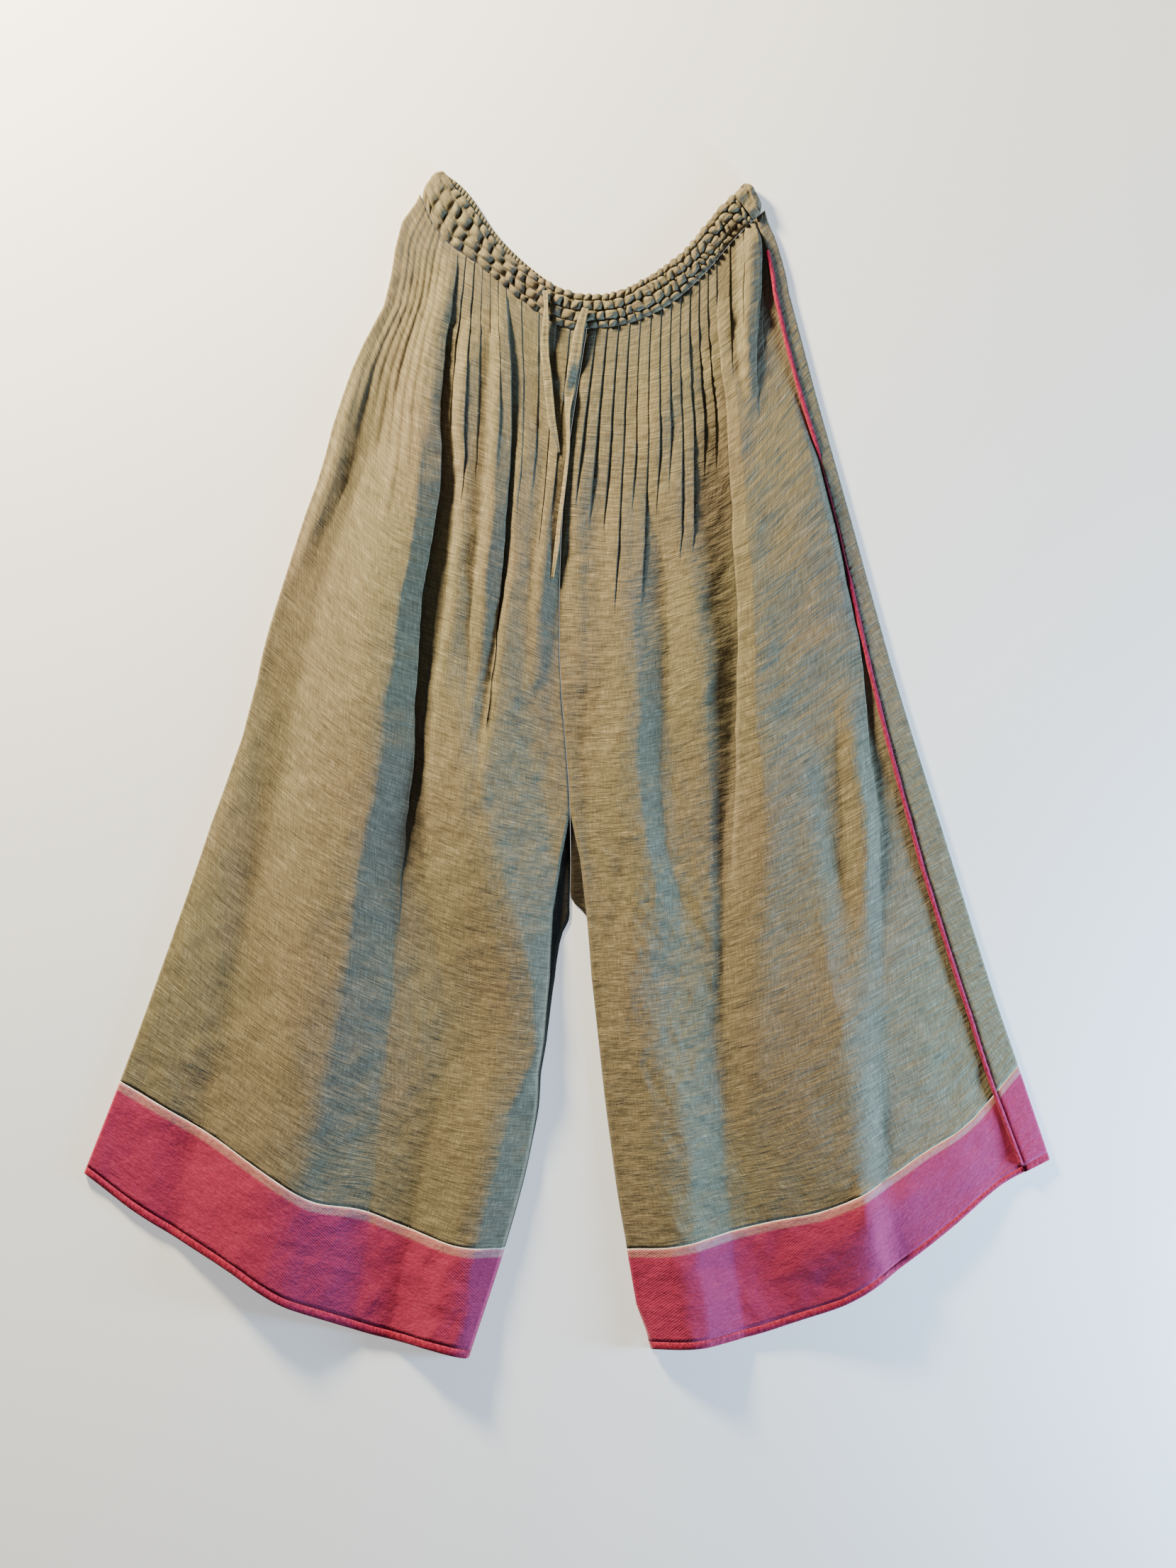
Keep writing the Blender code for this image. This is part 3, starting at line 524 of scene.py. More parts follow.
def own_plan(side, across, down):
    """Place on the floor of a point of a leg, by its own sections alone."""
    along = 0.5 + (0.5 if side == "left" else -0.5) * across
    lower, upper = waist_edges(along)
    away = lower - upper
    top = lower + WAIST_GAP * away / np.linalg.norm(away, axis=1)[:, None]
    rows = [top] + [table_line(np.linspace(0.0, 1.0, len(section)), section, across)
                    for section in SECTIONS[side]]
    place = smooth(SECTION_DOWN, np.stack(rows), down)
    shift = column(OUTER_TRIM[side], 1, place[:, 1]) * ease((across - TRIM_START) / (1.0 - TRIM_START))
    shift *= ease(down / TRIM_DOWN)
    shift += column(INNER_TRIM[side], 1, place[:, 1]) * (1.0 - ease(across / INNER_TRIM_END))
    return place + shift[:, None] * (1.0, 0.0)


def plan(side, across, down):
    """Place on the floor of a point of a leg; across is 0 at the inner edge and 1 at the outer fold."""
    none = np.zeros_like(down)
    other = "left" if side == "right" else "right"
    to_seam = (own_plan(other, none, down) - own_plan(side, none, down)) / 2
    share = (1.0 - ease(across / CENTRE_SEAM_SHARE)) * (down < CROTCH_DOWN)
    return own_plan(side, across, down) + share[:, None] * to_seam


def outward(side, across, down):
    """Unit direction on the floor from the inner edge to the outer fold."""
    return unit(plan(side, across + SHORT_STEP, down) - plan(side, across - SHORT_STEP, down))


def leg_width(side, down):
    """Straight width of a leg from its inner edge to its outer fold."""
    ends = plan(side, np.ones_like(down), down) - plan(side, np.zeros_like(down), down)
    return np.linalg.norm(ends, axis=1)


def lattice(u, v, size_u, size_v, seed):
    """Smooth random heights from -1 to 1 on cells of the given sizes."""
    table = np.random.default_rng(seed).uniform(-1.0, 1.0, (64, 64))
    across, along = u / size_u + 100.0, v / size_v + 100.0
    col, row = np.floor(across).astype(int), np.floor(along).astype(int)
    side, rise = ease(across - col), ease(along - row)
    near = table[row % 64, col % 64] * (1.0 - side) + table[row % 64, (col + 1) % 64] * side
    far = table[(row + 1) % 64, col % 64] * (1.0 - side) + table[(row + 1) % 64, (col + 1) % 64] * side
    return near * (1.0 - rise) + far * rise


def crumple(u, v, seed):
    """Small waves of worn linen, longer down the leg than across it."""
    broad = 0.9 * lattice(u, v, 34.0, 120.0, seed) + 0.5 * lattice(u + 0.35 * v, v, 26.0, 48.0, seed + 1)
    fine = 0.30 * lattice(u - 0.5 * v, v, 13.0, 24.0, seed + 2) + 0.16 * lattice(u, v, 8.0, 6.0, seed + 3)
    patch = ease(0.5 + lattice(u, v, 70.0, 110.0, seed + 4))
    return broad + fine + 0.22 * patch * lattice(u, v, 24.0, 5.5, seed + 5)


def small_creases(count, seed):
    """Random small creases all over the cloth, most of them along the weft."""
    random = np.random.default_rng(seed)
    made = []
    for x, y in zip(random.uniform(-400.0, 400.0, count), random.uniform(-490.0, 400.0, count)):
        angle = x / 12.0 + random.normal(0.0, 22.0)
        length, width = random.uniform(16.0, 66.0), random.uniform(2.2, 4.6)
        height = random.choice((-1.0, 1.0)) * random.uniform(0.2, 0.65)
        made.append(Crease(x, y, angle, length, width, height))
    return made


def pressed(place):
    """Height of the small creases and rumpled places over places on the floor."""
    lift = np.zeros(len(place))
    for crease in CREASES + small_creases(CREASE_COUNT, CREASE_SEED):
        turn = math.radians(crease.angle)
        away = place - (crease.x, crease.y)
        along = (away[:, 0] * math.cos(turn) + away[:, 1] * math.sin(turn)) / (crease.length / 2)
        beside = (away[:, 1] * math.cos(turn) - away[:, 0] * math.sin(turn)) / crease.width
        lift += crease.height * np.clip(1.0 - along ** 2, 0.0, 1.0) * np.exp(-beside ** 2)
    x, y = place[:, 0], place[:, 1]
    for number, spot in enumerate(RUMPLES):
        away = np.hypot(x - spot.x, y - spot.y) / spot.reach
        wave = lattice(x + 0.4 * y, y, spot.size, 1.5 * spot.size, 80 + number)
        wave += 0.5 * lattice(x, y, spot.size / 2, spot.size / 2, 120 + number)
        lift += spot.height * wave * np.exp(-away ** 2)
    return lift


def station_values(fold, y):
    """The sizes of a fold at each y, held at its ends. Its lines wander a little, as pressed cloth does."""
    keys = [-station.y for station in fold]
    wanted = np.clip(-y, keys[0], keys[-1])
    left, crest, right, height, drop, lap = table_line(keys, [station[1:] for station in fold], wanted).T
    seed = int(abs(7 * fold[0].crest + fold[0].y))
    none = np.zeros_like(y)
    line = 0.9 * lattice(y, none, 24.0, 1.0, seed) + 0.4 * lattice(y, none, 9.0, 1.0, seed + 1)
    room = 0.3 * np.minimum(crest - left, right - crest)
    stray = np.clip(2.4 * lattice(y, none, 42.0, 1.0, seed + 2), -room, room)
    return left + line, crest + line + stray, right + line, height, drop, lap


def slope_share(part, start):
    """How far a fold's face has come down, from 0 at the crest to 1 at the foot, rounded at both ends."""
    held = np.clip(part, 0.0, 1.0)
    come = np.where(held < start, held ** 2 / (2 * start), held - start / 2)
    come -= np.clip(held - (1.0 - FOOT_ROUND), 0.0, 1.0) ** 2 / (2 * FOOT_ROUND)
    return come / (1.0 - (start + FOOT_ROUND) / 2)


def fold_relief(side, place):
    """Height of the front's folds over places on the floor, how far their edges lap over in x, and the
    painted shade on the cloth beside those edges."""
    lift = np.zeros(len(place))
    push = np.zeros(len(place))
    shade = np.zeros(len(place))
    for fold in FOLDS[side]:
        left, crest, right, height, drop, lap = station_values(fold, place[:, 1])
        offset = place[:, 0] - crest
        part = np.where(offset < 0.0, offset / (left - crest), offset / (right - crest))
        sharp = np.where(offset < 0.0, drop < 0.0, drop > 0.0)
        share = np.where(sharp, np.abs(drop), 0.0)
        start = np.where(offset < 0.0, CREST_LEFT, CREST_RIGHT)
        start += (CREST_SHARP - start) * ease(share / 0.12)
        face = (1.0 - share) * (1.0 - slope_share(part, start)) + share
        inside = part < 1.0
        lift += np.where(inside, height * face, 0.0)
        push += np.where(inside & sharp, lap * np.sign(offset) * ease(part), 0.0)
        # Painted shade: the cloth beyond a sharp edge's foot is drawn darker, where the edge's shadow falls
        beyond = np.where(drop < 0.0, left - place[:, 0], place[:, 0] - right)
        near = np.where(beyond > 0.0, np.clip(1.0 - beyond / SHADE_REACH, 0.0, 1.0), 0.0)
        dark = np.clip(np.abs(drop) * height / SHADE_HEIGHT, 0.0, SHADE_MOST)
        shade = np.maximum(shade, dark * near ** 2)
    return lift, push, shade


def sharp_lines(side):
    """Share across the leg of each sharp fold edge over the whole leg, from the centre out."""
    rows, shares = np.linspace(0.0, HEM_DOWN, EDGE_ROWS), np.linspace(0.0, 1.0, EDGE_COLUMNS)
    down, across = grid_arrays(rows, shares)
    place = plan(side, across, down)
    pick = np.arange(len(rows))
    found = []
    for fold in FOLDS[side]:
        drops = [station.drop for station in fold]
        if not any(drops):
            continue
        line = station_values(fold, place[:, 1])[2 if sum(drops) > 0 else 0]
        gap = (place[:, 0] - line).reshape(len(rows), len(shares))
        gap = gap if side == "left" else -gap
        after = np.clip(np.argmax(gap > 0.0, axis=1), 1, len(shares) - 1)
        step = gap[pick, after - 1] / (gap[pick, after - 1] - gap[pick, after])
        share = shares[after - 1] + (shares[1] - shares[0]) * step
        y = place[:, 1].reshape(gap.shape)[pick, after]
        crossed = np.any(gap > 0.0, axis=1) & (gap[:, 0] < 0.0) & (share < LAST_EDGE)
        low, high = np.flatnonzero(crossed & (y < fold[0].y) & (y > fold[-1].y))[[0, -1]]
        share[:low] = share[low]
        share[high + 1:] = share[high]
        held = (pick < low) | (pick > high)
        found.append((share, held))
    found.sort(key=lambda line: line[0][EDGE_ORDER_ROW])
    for (inner, held), (outer, _) in zip(found, found[1:]):
        inner[:] = np.where(held, np.minimum(inner, outer - EDGE_SPACE), inner)
        outer[:] = np.where(held, outer, np.maximum(outer, inner + EDGE_SPACE))
    return rows, [share for share, _ in found]


def edge_shares(side, rows):
    """The sharp fold edges' shares across, read at the given rows."""
    keys, lines = sharp_lines(side)
    return [np.interp(rows, keys, line) for line in lines]


def grid_arrays(rows, columns):
    """Every row value beside every column value, as two flat arrays."""
    down, across = np.meshgrid(rows, columns, indexing="ij")
    return down.ravel(), across.ravel()


def cloth_columns(side, rows, last):
    """Share across of every column in each row, with each column's tuck and its place in that tuck."""
    width = leg_width(side, rows)
    half = EDGE_HALF / width
    edges = edge_shares(side, rows)
    bounds = [SEAM_GAP / 2 / width] + edges + [last]
    stops = np.array(TUCK_STOPS)
    shares, tucks, parts = [], [], []
    first = 0
    for number, (begin, finish) in enumerate(zip(bounds, bounds[1:])):
        begin = begin + (half if number else 0.0)
        finish = finish - (half if number < len(edges) else 0.0)
        ends = TUCK_ENDS[side][number]
        if ends:
            lane = (np.arange(len(ends))[:, None] + stops).ravel() / len(ends)
            if side == "right":
                lane = np.concatenate([[0.0], np.sort(1.0 - lane[1:])])
                which = first + np.clip(np.ceil(lane * len(ends)).astype(int) - 1, 0, len(ends) - 1)
                inside = 1.0 - (lane * len(ends) - (which - first))
            else:
                which = first + np.clip((lane * len(ends)).astype(int), 0, len(ends) - 1)
                inside = np.tile(stops, len(ends))
        else:
            lane = np.linspace(0.0, 1.0, PLAIN_COLUMNS[side][number], endpoint=False)
            which = np.full(len(lane), -1)
            inside = np.zeros(len(lane))
        lane = np.append(lane, 1.0)
        which = np.append(which, -1)
        inside = np.append(inside, 0.0)
        shares.append(begin[:, None] + (finish - begin)[:, None] * lane)
        tucks.append(which)
        parts.append(inside)
        first += len(ends)
    return np.concatenate(shares, axis=1), np.concatenate(tucks), np.concatenate(parts)


def per_tuck(side, values, last):
    """One value for each tuck of a front from its group's value, and a last one for where there is none."""
    return np.array([value for group, value in zip(TUCK_ENDS[side], values) for _ in group] + [last])


def tuck_rise(side, down, tuck, part):
    """How far the tucks lift the front, how far their free edges lap over in x, and the painted shade line
    in each tuck's fold.
    """
    ends = np.array([end for group in TUCK_ENDS[side] for end in group] + [0.0])
    depths = per_tuck(side, TUCK_DEPTH[side], 0.0)
    depths *= np.random.default_rng(5).uniform(*TUCK_SPREAD[side], len(depths))
    soft = per_tuck(side, TUCK_SOFT[side], True)
    strength = 1.0 - ease((down - ends[tuck] + TUCK_FADE) / TUCK_FADE)
    strength = strength * (tuck >= 0) * (0.55 + 0.45 * ease(down / 40.0))
    opening = 1.0 + 0.9 * ease(down / np.maximum(ends[tuck] - TUCK_FADE / 2, 1.0)) ** 2
    up = np.where(part <= TUCK_EDGE, part / TUCK_EDGE, 0.0)
    rise = np.where(part <= TUCK_EDGE, up + 0.25 * np.sin(math.pi * up), -0.5)
    rise = np.where(soft[tuck], np.sin(math.pi * part) ** 2, rise)
    lift = depths[tuck] * strength * opening * rise
    lap = np.where(soft[tuck], 0.0, TUCK_LAP) * strength * np.where(part <= TUCK_EDGE, up ** 3, 0.0)
    # Painted shade: a thin dark line drawn where each tuck's free edge folds under
    line = np.clip(1.0 - np.abs(part - TUCK_GROOVE) / PAINTED_LINE_HALF, 0.0, 1.0)
    groove = np.where(soft[tuck], 0.0, line) * np.clip(1.8 * strength * depths[tuck], 0.0, 1.0)
    return lift, lap, groove


def front_points(side, rows, last, bead):
    """Grid of points of a front, its places on the cloth, and the painted shade at each point."""
    shares, tuck, part = cloth_columns(side, rows, last)
    shape = shares.shape
    down, across = np.repeat(rows, shape[1]), shares.ravel()
    place = plan(side, across, down)
    lift, push, shade = fold_relief(side, place)
    width = leg_width(side, down)
    inner, outer = across * width, (last.repeat(shape[1]) - across) * width
    rise, lap, groove = tuck_rise(side, down, np.tile(tuck, shape[0]), np.tile(part, shape[0]))
    waves = 1000 * bpy.context.scene.linen.crumple * crumple(inner, down, FRONT_SEED) + pressed(place)
    hold = ease(inner / INSEAM_SLOPE) * ease(outer / SEAM_SLOPE)
    start = ease(down / FOLDS_START)
    level = INSEAM_LEVEL + (FRONT_LEVEL - INSEAM_LEVEL) * ease(inner / INSEAM_SLOPE)
    height = level + hold * (start * (lift + waves * ease(down / 60.0)) + rise)
    height = np.maximum(height, LEAST_HEIGHT)
    middle = (down - rows[0]) / (rows[-1] - rows[0])
    height = height + bead * np.sin(math.pi * middle)
    place[:, 0] += hold * (start * push + lap)
    points = point_grid(place, height, *shape)
    cloth = map_grid(inner, down, *shape)
    # Painted shade along the inner edge at the centre seam, darker higher up
    seam = np.clip(1.0 - inner / 1.8, 0.0, 1.0) * (0.9 - 0.35 * ease((down - 220.0) / 80.0))
    groove = np.maximum(np.maximum(groove, shade), seam).reshape(shape)
    # Painted shade on the low side of each steep step between two close columns
    step = np.diff(height.reshape(shape), axis=1)
    deep = ease((np.abs(step) - 1.0) / 4.0) * (np.diff(inner.reshape(shape), axis=1) < 3 * EDGE_HALF)
    groove[:, :-1] = np.maximum(groove[:, :-1], deep * (step > 0.0))
    groove[:, 1:] = np.maximum(groove[:, 1:], deep * (step < 0.0))
    return points, cloth, groove


def fold_round(side, rows, angles):
    """Points round the outer fold of a leg, from the top layer (angle 0) to the underside (pi)."""
    down, angle = grid_arrays(rows, angles)
    ones = np.ones_like(down)
    edge = plan(side, ones, down)
    inward = -outward(side, ones, down)
    place = edge + (FOLD_RADIUS * (1.0 - np.sin(angle)))[:, None] * inward
    height = FOLD_RADIUS * (1.0 + np.cos(angle))
    return point_grid(place, height, len(rows), len(angles))


def side_strip(side, rows, insets, height):
    """Points in from the outer fold by each row's own insets, all at one height."""
    count = np.shape(insets)[-1]
    down = np.repeat(rows, count)
    inset = np.broadcast_to(insets, (len(rows), count)).ravel()
    place = plan(side, 1.0 - inset / leg_width(side, down), down)
    return point_grid(place, np.full(len(down), float(height)), len(rows), count)


def join_strips(points, cloth, strips):
    """A grid with more columns beside it, whose place on the cloth runs on by their length."""
    for strip in strips:
        chain = np.concatenate([points[:, -1:], strip], axis=1)
        steps = np.linalg.norm(np.diff(chain, axis=1), axis=2)
        u = cloth[:, -1:, 0] + np.cumsum(steps, axis=1)
        v = np.repeat(cloth[:, -1:, 1], strip.shape[1], axis=1)
        cloth = np.concatenate([cloth, np.stack([u, v], axis=2)], axis=1)
        points = np.concatenate([points, strip], axis=1)
    return points, cloth


def link_object(name, mesh):
    """A new object of the scene."""
    made = bpy.data.objects.new(name, mesh)
    bpy.context.scene.collection.objects.link(made)
    return made


def select_only(made):
    """Make one object the only one selected, and the active one."""
    bpy.ops.object.select_all(action="DESELECT")
    made.select_set(True)
    bpy.context.view_layer.objects.active = made


def shell(name, points, cloth, thickness, material, offset=-1.0, groove=None):
    """A cloth object from a grid of points in millimetres, with its UV map in metres and its thickness."""
    rows, cols = points.shape[:2]
    index = np.arange(rows * cols).reshape(rows, cols)
    corners = index[:-1, :-1], index[1:, :-1], index[1:, 1:], index[:-1, 1:]
    quads = np.stack(corners, axis=2).reshape(-1, 4)
    across = points[:, -1] - points[:, 0]
    along = points[-1] - points[0]
    if np.cross(across.mean(axis=0), along.mean(axis=0))[2] > 0.0:
        quads = quads[:, ::-1]
    mesh = bpy.data.meshes.new(name)
    places = (points.reshape(-1, 3) - MIDDLE) * MM
    mesh.from_pydata(places.tolist(), [], quads.tolist())
    layer = mesh.uv_layers.new(name="cloth")
    layer.data.foreach_set("uv", (cloth.reshape(-1, 2)[quads.ravel()] * MM).ravel())
    # The painted shade goes onto the mesh as a point attribute, which the linen material reads
    if groove is not None:
        dark = mesh.attributes.new("groove", "FLOAT", "POINT")
        dark.data.foreach_set("value", groove.ravel())
    mesh.validate()
    mesh.shade_smooth()
    mesh.materials.append(material)
    made = link_object(name, mesh)
    wall = made.modifiers.new("cloth", "SOLIDIFY")
    wall.thickness = thickness
    wall.offset = offset
    select_only(made)
    bpy.ops.object.modifier_apply(modifier=wall.name)
    made.select_set(False)
    return made


def settle(made, node):
    """Tie a finished piece to the frame's body and hide the solid that it stands for."""
    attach(made, "root")
    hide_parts(node)
    return made


def leg_last(side, rows):
    """Share across at which a front's top layer ends: at the outer fold or at the piped seam."""
    if side == "right":
        return 1.0 - FOLD_RADIUS / leg_width(side, rows)
    return 1.0 - (column(PIPED_SEAM, 1, rows) + SEAM_GAP / 2) / leg_width(side, rows)


def front_piece(name, side, rows, material, thickness, bead=0.0):
    """A front, hem band or hem edge on the top layer; the right one wraps round the outer fold."""
    points, cloth, groove = front_points(side, rows, leg_last(side, rows), bead)
    if side == "right":
        strips = (fold_round(side, rows, np.linspace(0.3, math.pi, 6)),
                  side_strip(side, rows, (9.0, 18.0, SIDE_SEAM_UNDER - SEAM_GAP / 2), 0.0))
        points, cloth = join_strips(points, cloth, strips)
        groove = np.pad(groove, ((0, 0), (0, points.shape[1] - groove.shape[1])))
    return shell(name, points, cloth, thickness, material, groove=groove)


def back_piece(name, side, rows, material, thickness):
    """A back, hem band or hem edge that lies flat underneath; the left one wraps up to the piping."""
    shape = len(rows), BACK_COLUMNS
    down, share = grid_arrays(rows, np.linspace(0.0, 1.0, BACK_COLUMNS))
    width = leg_width(side, down)
    none = np.zeros_like(down)
    between = np.linalg.norm(plan("left", none, down) - plan("right", none, down), axis=1)
    reach = column(CROTCH_REACH, 1 if side == "right" else 2, down)
    step = plan(side, none + SHORT_STEP, down) - plan(side, none, down)
    start = (SEAM_GAP / 2 - reach * between / 2) * SHORT_STEP / np.linalg.norm(step, axis=1)
    end = BACK_TURN
    if side == "right":
        end = 1.0 - (SIDE_SEAM_UNDER + SEAM_GAP / 2) / width
    across = start + (end - start) * share
    place = plan(side, across, down)
    edge = ease(share / 0.06) * ease((1.0 - share) / 0.06)
    wave = BACK_WAVE * edge * (1.0 + crumple(across * width, down, BACK_SEED))
    points = point_grid(place, np.maximum(wave, 0.0), *shape)
    cloth = map_grid(across * width, down, *shape)
    # Painted shade on the back's inner edge, where it shows between the fronts at the crotch
    groove = (1.0 - ease(across * width / 4.0)).reshape(shape)
    if side == "left":
        wide = column(PIPED_SEAM, 1, rows) - SEAM_GAP / 2 - FOLD_RADIUS
        thirds = np.stack([FOLD_RADIUS + wide * part for part in (0.35, 0.7, 1.0)], axis=1)
        top = side_strip(side, rows, thirds, FRONT_LEVEL)
        top[:, :, 2] += (0.4, 1.4, 1.9)
        bend = fold_round(side, rows, np.linspace(math.pi, 0.0, 7))
        points, cloth = join_strips(points, cloth, (bend, top))
        groove = np.pad(groove, ((0, 0), (0, points.shape[1] - BACK_COLUMNS)))
    return shell(name, points, cloth, thickness, material, 1.0, groove)


def band_place(along, height_share):
    """Place on the floor of a point of the waistband, from its lower edge (0) to its upper edge (1)."""
    lower, upper = waist_edges(along)
    return lower + (upper - lower) * height_share[:, None]


def band_reach(end, share, inset):
    """Value along the waistband that lies an inset in from one of its ends, at a share of its width."""
    inner = np.full(len(share), abs(end - SHORT_STEP))
    run = band_place(inner, share) - band_place(np.full(len(share), float(end)), share)
    return np.abs(end - SHORT_STEP * inset / np.linalg.norm(run, axis=1))


def band_end_round(shares, end, radius, angles):
    """Points round a folded end of the waistband; angle 0 is the top layer and pi the underside."""
    share, angle = grid_arrays(shares, angles)
    place = band_place(band_reach(end, share, radius * (1.0 - np.sin(angle))), share)
    return point_grid(place, radius * (1.0 + np.cos(angle)), len(shares), len(angles))


def band_lane(shares, stops, height):
    """Flat points of the waistband at stops along its length."""
    share, along = grid_arrays(shares, stops)
    level = np.full(len(along), float(height))
    return point_grid(band_place(along, share), level, len(shares), len(stops))


def corner_pull(shares, end, inner):
    """How far the waistband's corners at one end are drawn in towards a place further in along it."""
    run = band_place(np.full(len(shares), inner), shares) - band_place(np.full(len(shares), end), shares)
    pull = BAND_CORNER * np.abs(2.0 * shares - 1.0) ** 4
    return pull[:, None, None] * unit(run)[:, None]


# Rows of elastic: lower and upper share of the band's width, their puffs' height, and their offset
ELASTIC = ((0.0, 0.20, 0.7, 0.0), (0.20, 0.51, 0.85, 0.45), (0.51, 0.82, 0.95, 0.15), (0.82, 1.0, 0.6, 0.6))

# How much wider apart the gathers are along the waistband: distance from its right end, and the share
GATHER_PITCH = ((0, 1.5), (100, 1.3), (190, 0.85), (270, 0.9), (330, 1.15), (440, 1.3))


def band_puffs(share, length, pitch, puff):
    """Height of the puffs between the band's rows of elastic, and the painted shade in its gathers."""
    lift = np.zeros(len(share))
    groove = np.zeros(len(share))
    for number, (low, high, size, offset) in enumerate(ELASTIC):
        wander = ROW_WANDER * lattice(length, 0 * length, 8.0, 1.0, 50 + number)
        wander_up = ROW_WANDER * lattice(length, 0 * length, 8.0, 1.0, 51 + number)
        foot = low + (wander if low > 0.0 else 0.0)
        top = high + (wander_up if high < 1.0 else 0.0)
        count = int(BAND_LENGTH / pitch) + 4
        random = np.random.default_rng(60 + number)
        steps = pitch * column(GATHER_PITCH, 1, np.arange(count) * pitch)
        steps = steps * random.uniform(*PITCH_SPREAD, count)
        marks = np.cumsum(steps) - (2.0 - offset) * pitch
        sizes = random.uniform(*PUFF_SPREAD, count)
        leans = random.uniform(-GATHER_LEAN, GATHER_LEAN, count)
        bows = random.uniform(-GATHER_BOW, GATHER_BOW, count)
        near = np.clip(np.searchsorted(marks, length), 0, count - 1)
        away = (share - (low + high) / 2) / (high - low)
        leaning = length + (share - (low + high) / 2) * leans[near] + bows[near] * (4.0 * away ** 2)
        after = np.clip(np.searchsorted(marks, leaning), 1, count - 1)
        part = (leaning - marks[after - 1]) / (marks[after] - marks[after - 1])
        row_part = np.clip((share - foot) / (top - foot), 0.0, 1.0)
        across = 1.0 - np.abs(2.0 * part - 1.0) ** PUFF_ROUND_ALONG
        over = 1.0 - np.abs(2.0 * row_part - 1.0) ** PUFF_ROUND_OVER
        inside = (share >= foot) & (share <= top)
        body = PUFF_LEAST + (1.0 - PUFF_LEAST) * across
        lift = np.where(inside, puff * size * sizes[after] * body * over ** 0.8, lift)
        # Painted shade: darker in the gathers between puffs and along the rows' edges
        dark = np.clip(1.0 - across / 0.5, 0.0, 1.0) * over ** 0.3
        dark = np.maximum(dark, 0.7 * np.clip(1.0 - over / 0.3, 0.0, 1.0))
        groove = np.where(inside, dark, groove)
    return lift, groove


def waistband_front(material, settings):
    """The shirred front of the waistband."""
    pitch, puff = settings.pitch / MM, settings.puff / MM
    shares = np.unique(np.concatenate([np.linspace(low, high, 14) for low, high, _, _ in ELASTIC]))
    steps = np.linspace(BAND_START, BAND_SEAM, BAND_COLUMNS)
    share, along = grid_arrays(shares, steps)
    run = np.tile(run_length(band_place(steps, np.full(len(steps), 0.5))), len(shares))
    peek = BAND_PEEK * ease((0.45 - along) / 0.25) * ease(along / 0.08)
    lower, upper = waist_edges(along)
    width = np.linalg.norm(upper - lower, axis=1)
    grown = 0.35 + 0.65 * ease(along / 0.10)
    # The puffs' heights, and the painted shade in their gathers
    lift, groove = band_puffs(share, run, pitch, puff)
    lift *= grown
    groove *= 0.9 * grown
    scallop = (0.9 * (share > 0.97) - 0.7 * (share < 0.02)) * lift / width
    corner = 0.016 * np.abs(2.0 * share - 1.0) ** 4 * np.clip(1.0 - along / 0.12, 0.0, 1.0)
    place = band_place(along + corner, share * (1.0 - peek / width) + scallop)
    level = BAND_LEVEL - 1.2 + 1.2 * np.sin(math.pi * share) ** 0.6
    shape = len(shares), len(steps)
    points = point_grid(place, level + lift, *shape)
    cloth = map_grid(run * BAND_CLOTH_RUN, share * BAND_CLOTH_WIDTH, *shape)
    under = band_lane(shares, (0.05, 0.035, 0.02), 0.0)
    bend = band_end_round(shares, 0.0, BAND_LEVEL / 2, np.linspace(math.pi, 0.25, 7))
    head = np.concatenate([under, bend], axis=1)
    head[:, :, :2] += corner_pull(shares, 0.0, 0.03)
    count = head.shape[1]
    up, along = grid_arrays(shares * BAND_CLOTH_WIDTH, np.linspace(-24.0, -1.0, count))
    points = np.concatenate([head, points], axis=1)
    cloth = np.concatenate([map_grid(along, up, len(shares), count), cloth], axis=1)
    groove = np.pad(groove.reshape(shape), ((0, 0), (count, 0)))
    return shell("waistband_front_shirring", points, cloth, BAND_WALL * MM, material, groove=groove)


def waistband_back(material):
    """The ribbed back of the waistband, rolled over the wearer's left corner."""
    shares = np.linspace(0.0, 1.0, 22)
    steps = np.linspace(0.056, 0.96, BAND_BACK_COLUMNS)
    flat = band_lane(shares, steps, 0.0)
    length = run_length(band_place(steps, np.full(len(steps), 1.0)))
    wave = np.abs(np.sin(math.pi * (length / 3.7 + 0.25 * np.sin(length / 11.0))))
    flat[:, :, 2] = 0.15 + 1.5 * (wave ** 0.7)[None, :] * (0.35 + 0.65 * shares[:, None])
    bend = band_end_round(shares, 1.0, BAND_ROLL_RADIUS, np.linspace(math.pi, 0.0, 16))
    top = band_lane(shares, (0.986, 0.981, 0.976, 0.971, 0.966, 0.961, BAND_SEAM + 0.003),
                    2 * BAND_ROLL_RADIUS - 1.0)
    bend[:, :, :2] += corner_pull(shares, 1.0, 0.97)
    for strip in (bend, top):
        strip[:, :, 2] *= (1.0 - 0.35 * np.abs(2.0 * shares - 1.0) ** 4)[:, None]
    up, along = grid_arrays(shares * BAND_CLOTH_WIDTH, length * BAND_CLOTH_RUN)
    points, cloth = join_strips(flat, map_grid(along, up, len(shares), len(steps)), (bend, top))
    roll = cloth[:, :, 0] - length[-1] * BAND_CLOTH_RUN
    spot = np.broadcast_to(shares[:, None] * BAND_CLOTH_WIDTH, roll.shape)
    ridge = 1.6 * lattice(roll, spot, 5.0, 9.0, 31) + 1.0 * lattice(roll, spot, 3.0, 4.0, 32)
    points[:, :, 2] += np.where(points[:, :, 2] > 3.0, ridge - 0.4, 0.0)
    return shell("waistband_back_shirring", points, cloth, BAND_WALL * MM, material, 1.0)


def round_trim(name, points, radius, material, shown):
    """A round corded trim along a line of points, closed at both ends, with the share of it that shows."""
    side, up = line_frame(points)
    angles = np.linspace(0.0, 2 * math.pi, PIPING_SIDES, endpoint=False)
    ring = (np.cos(angles)[None, :, None] * side[:, None] + np.sin(angles)[None, :, None] * up[:, None])
    length = run_length(points)
    size = radius * (1.0 + 0.06 * np.sin(length * 2.1)) * shown
    skin = points[:, None] + ring * size[:, None, None]
    return tube_object(name, skin, length, radius, material)


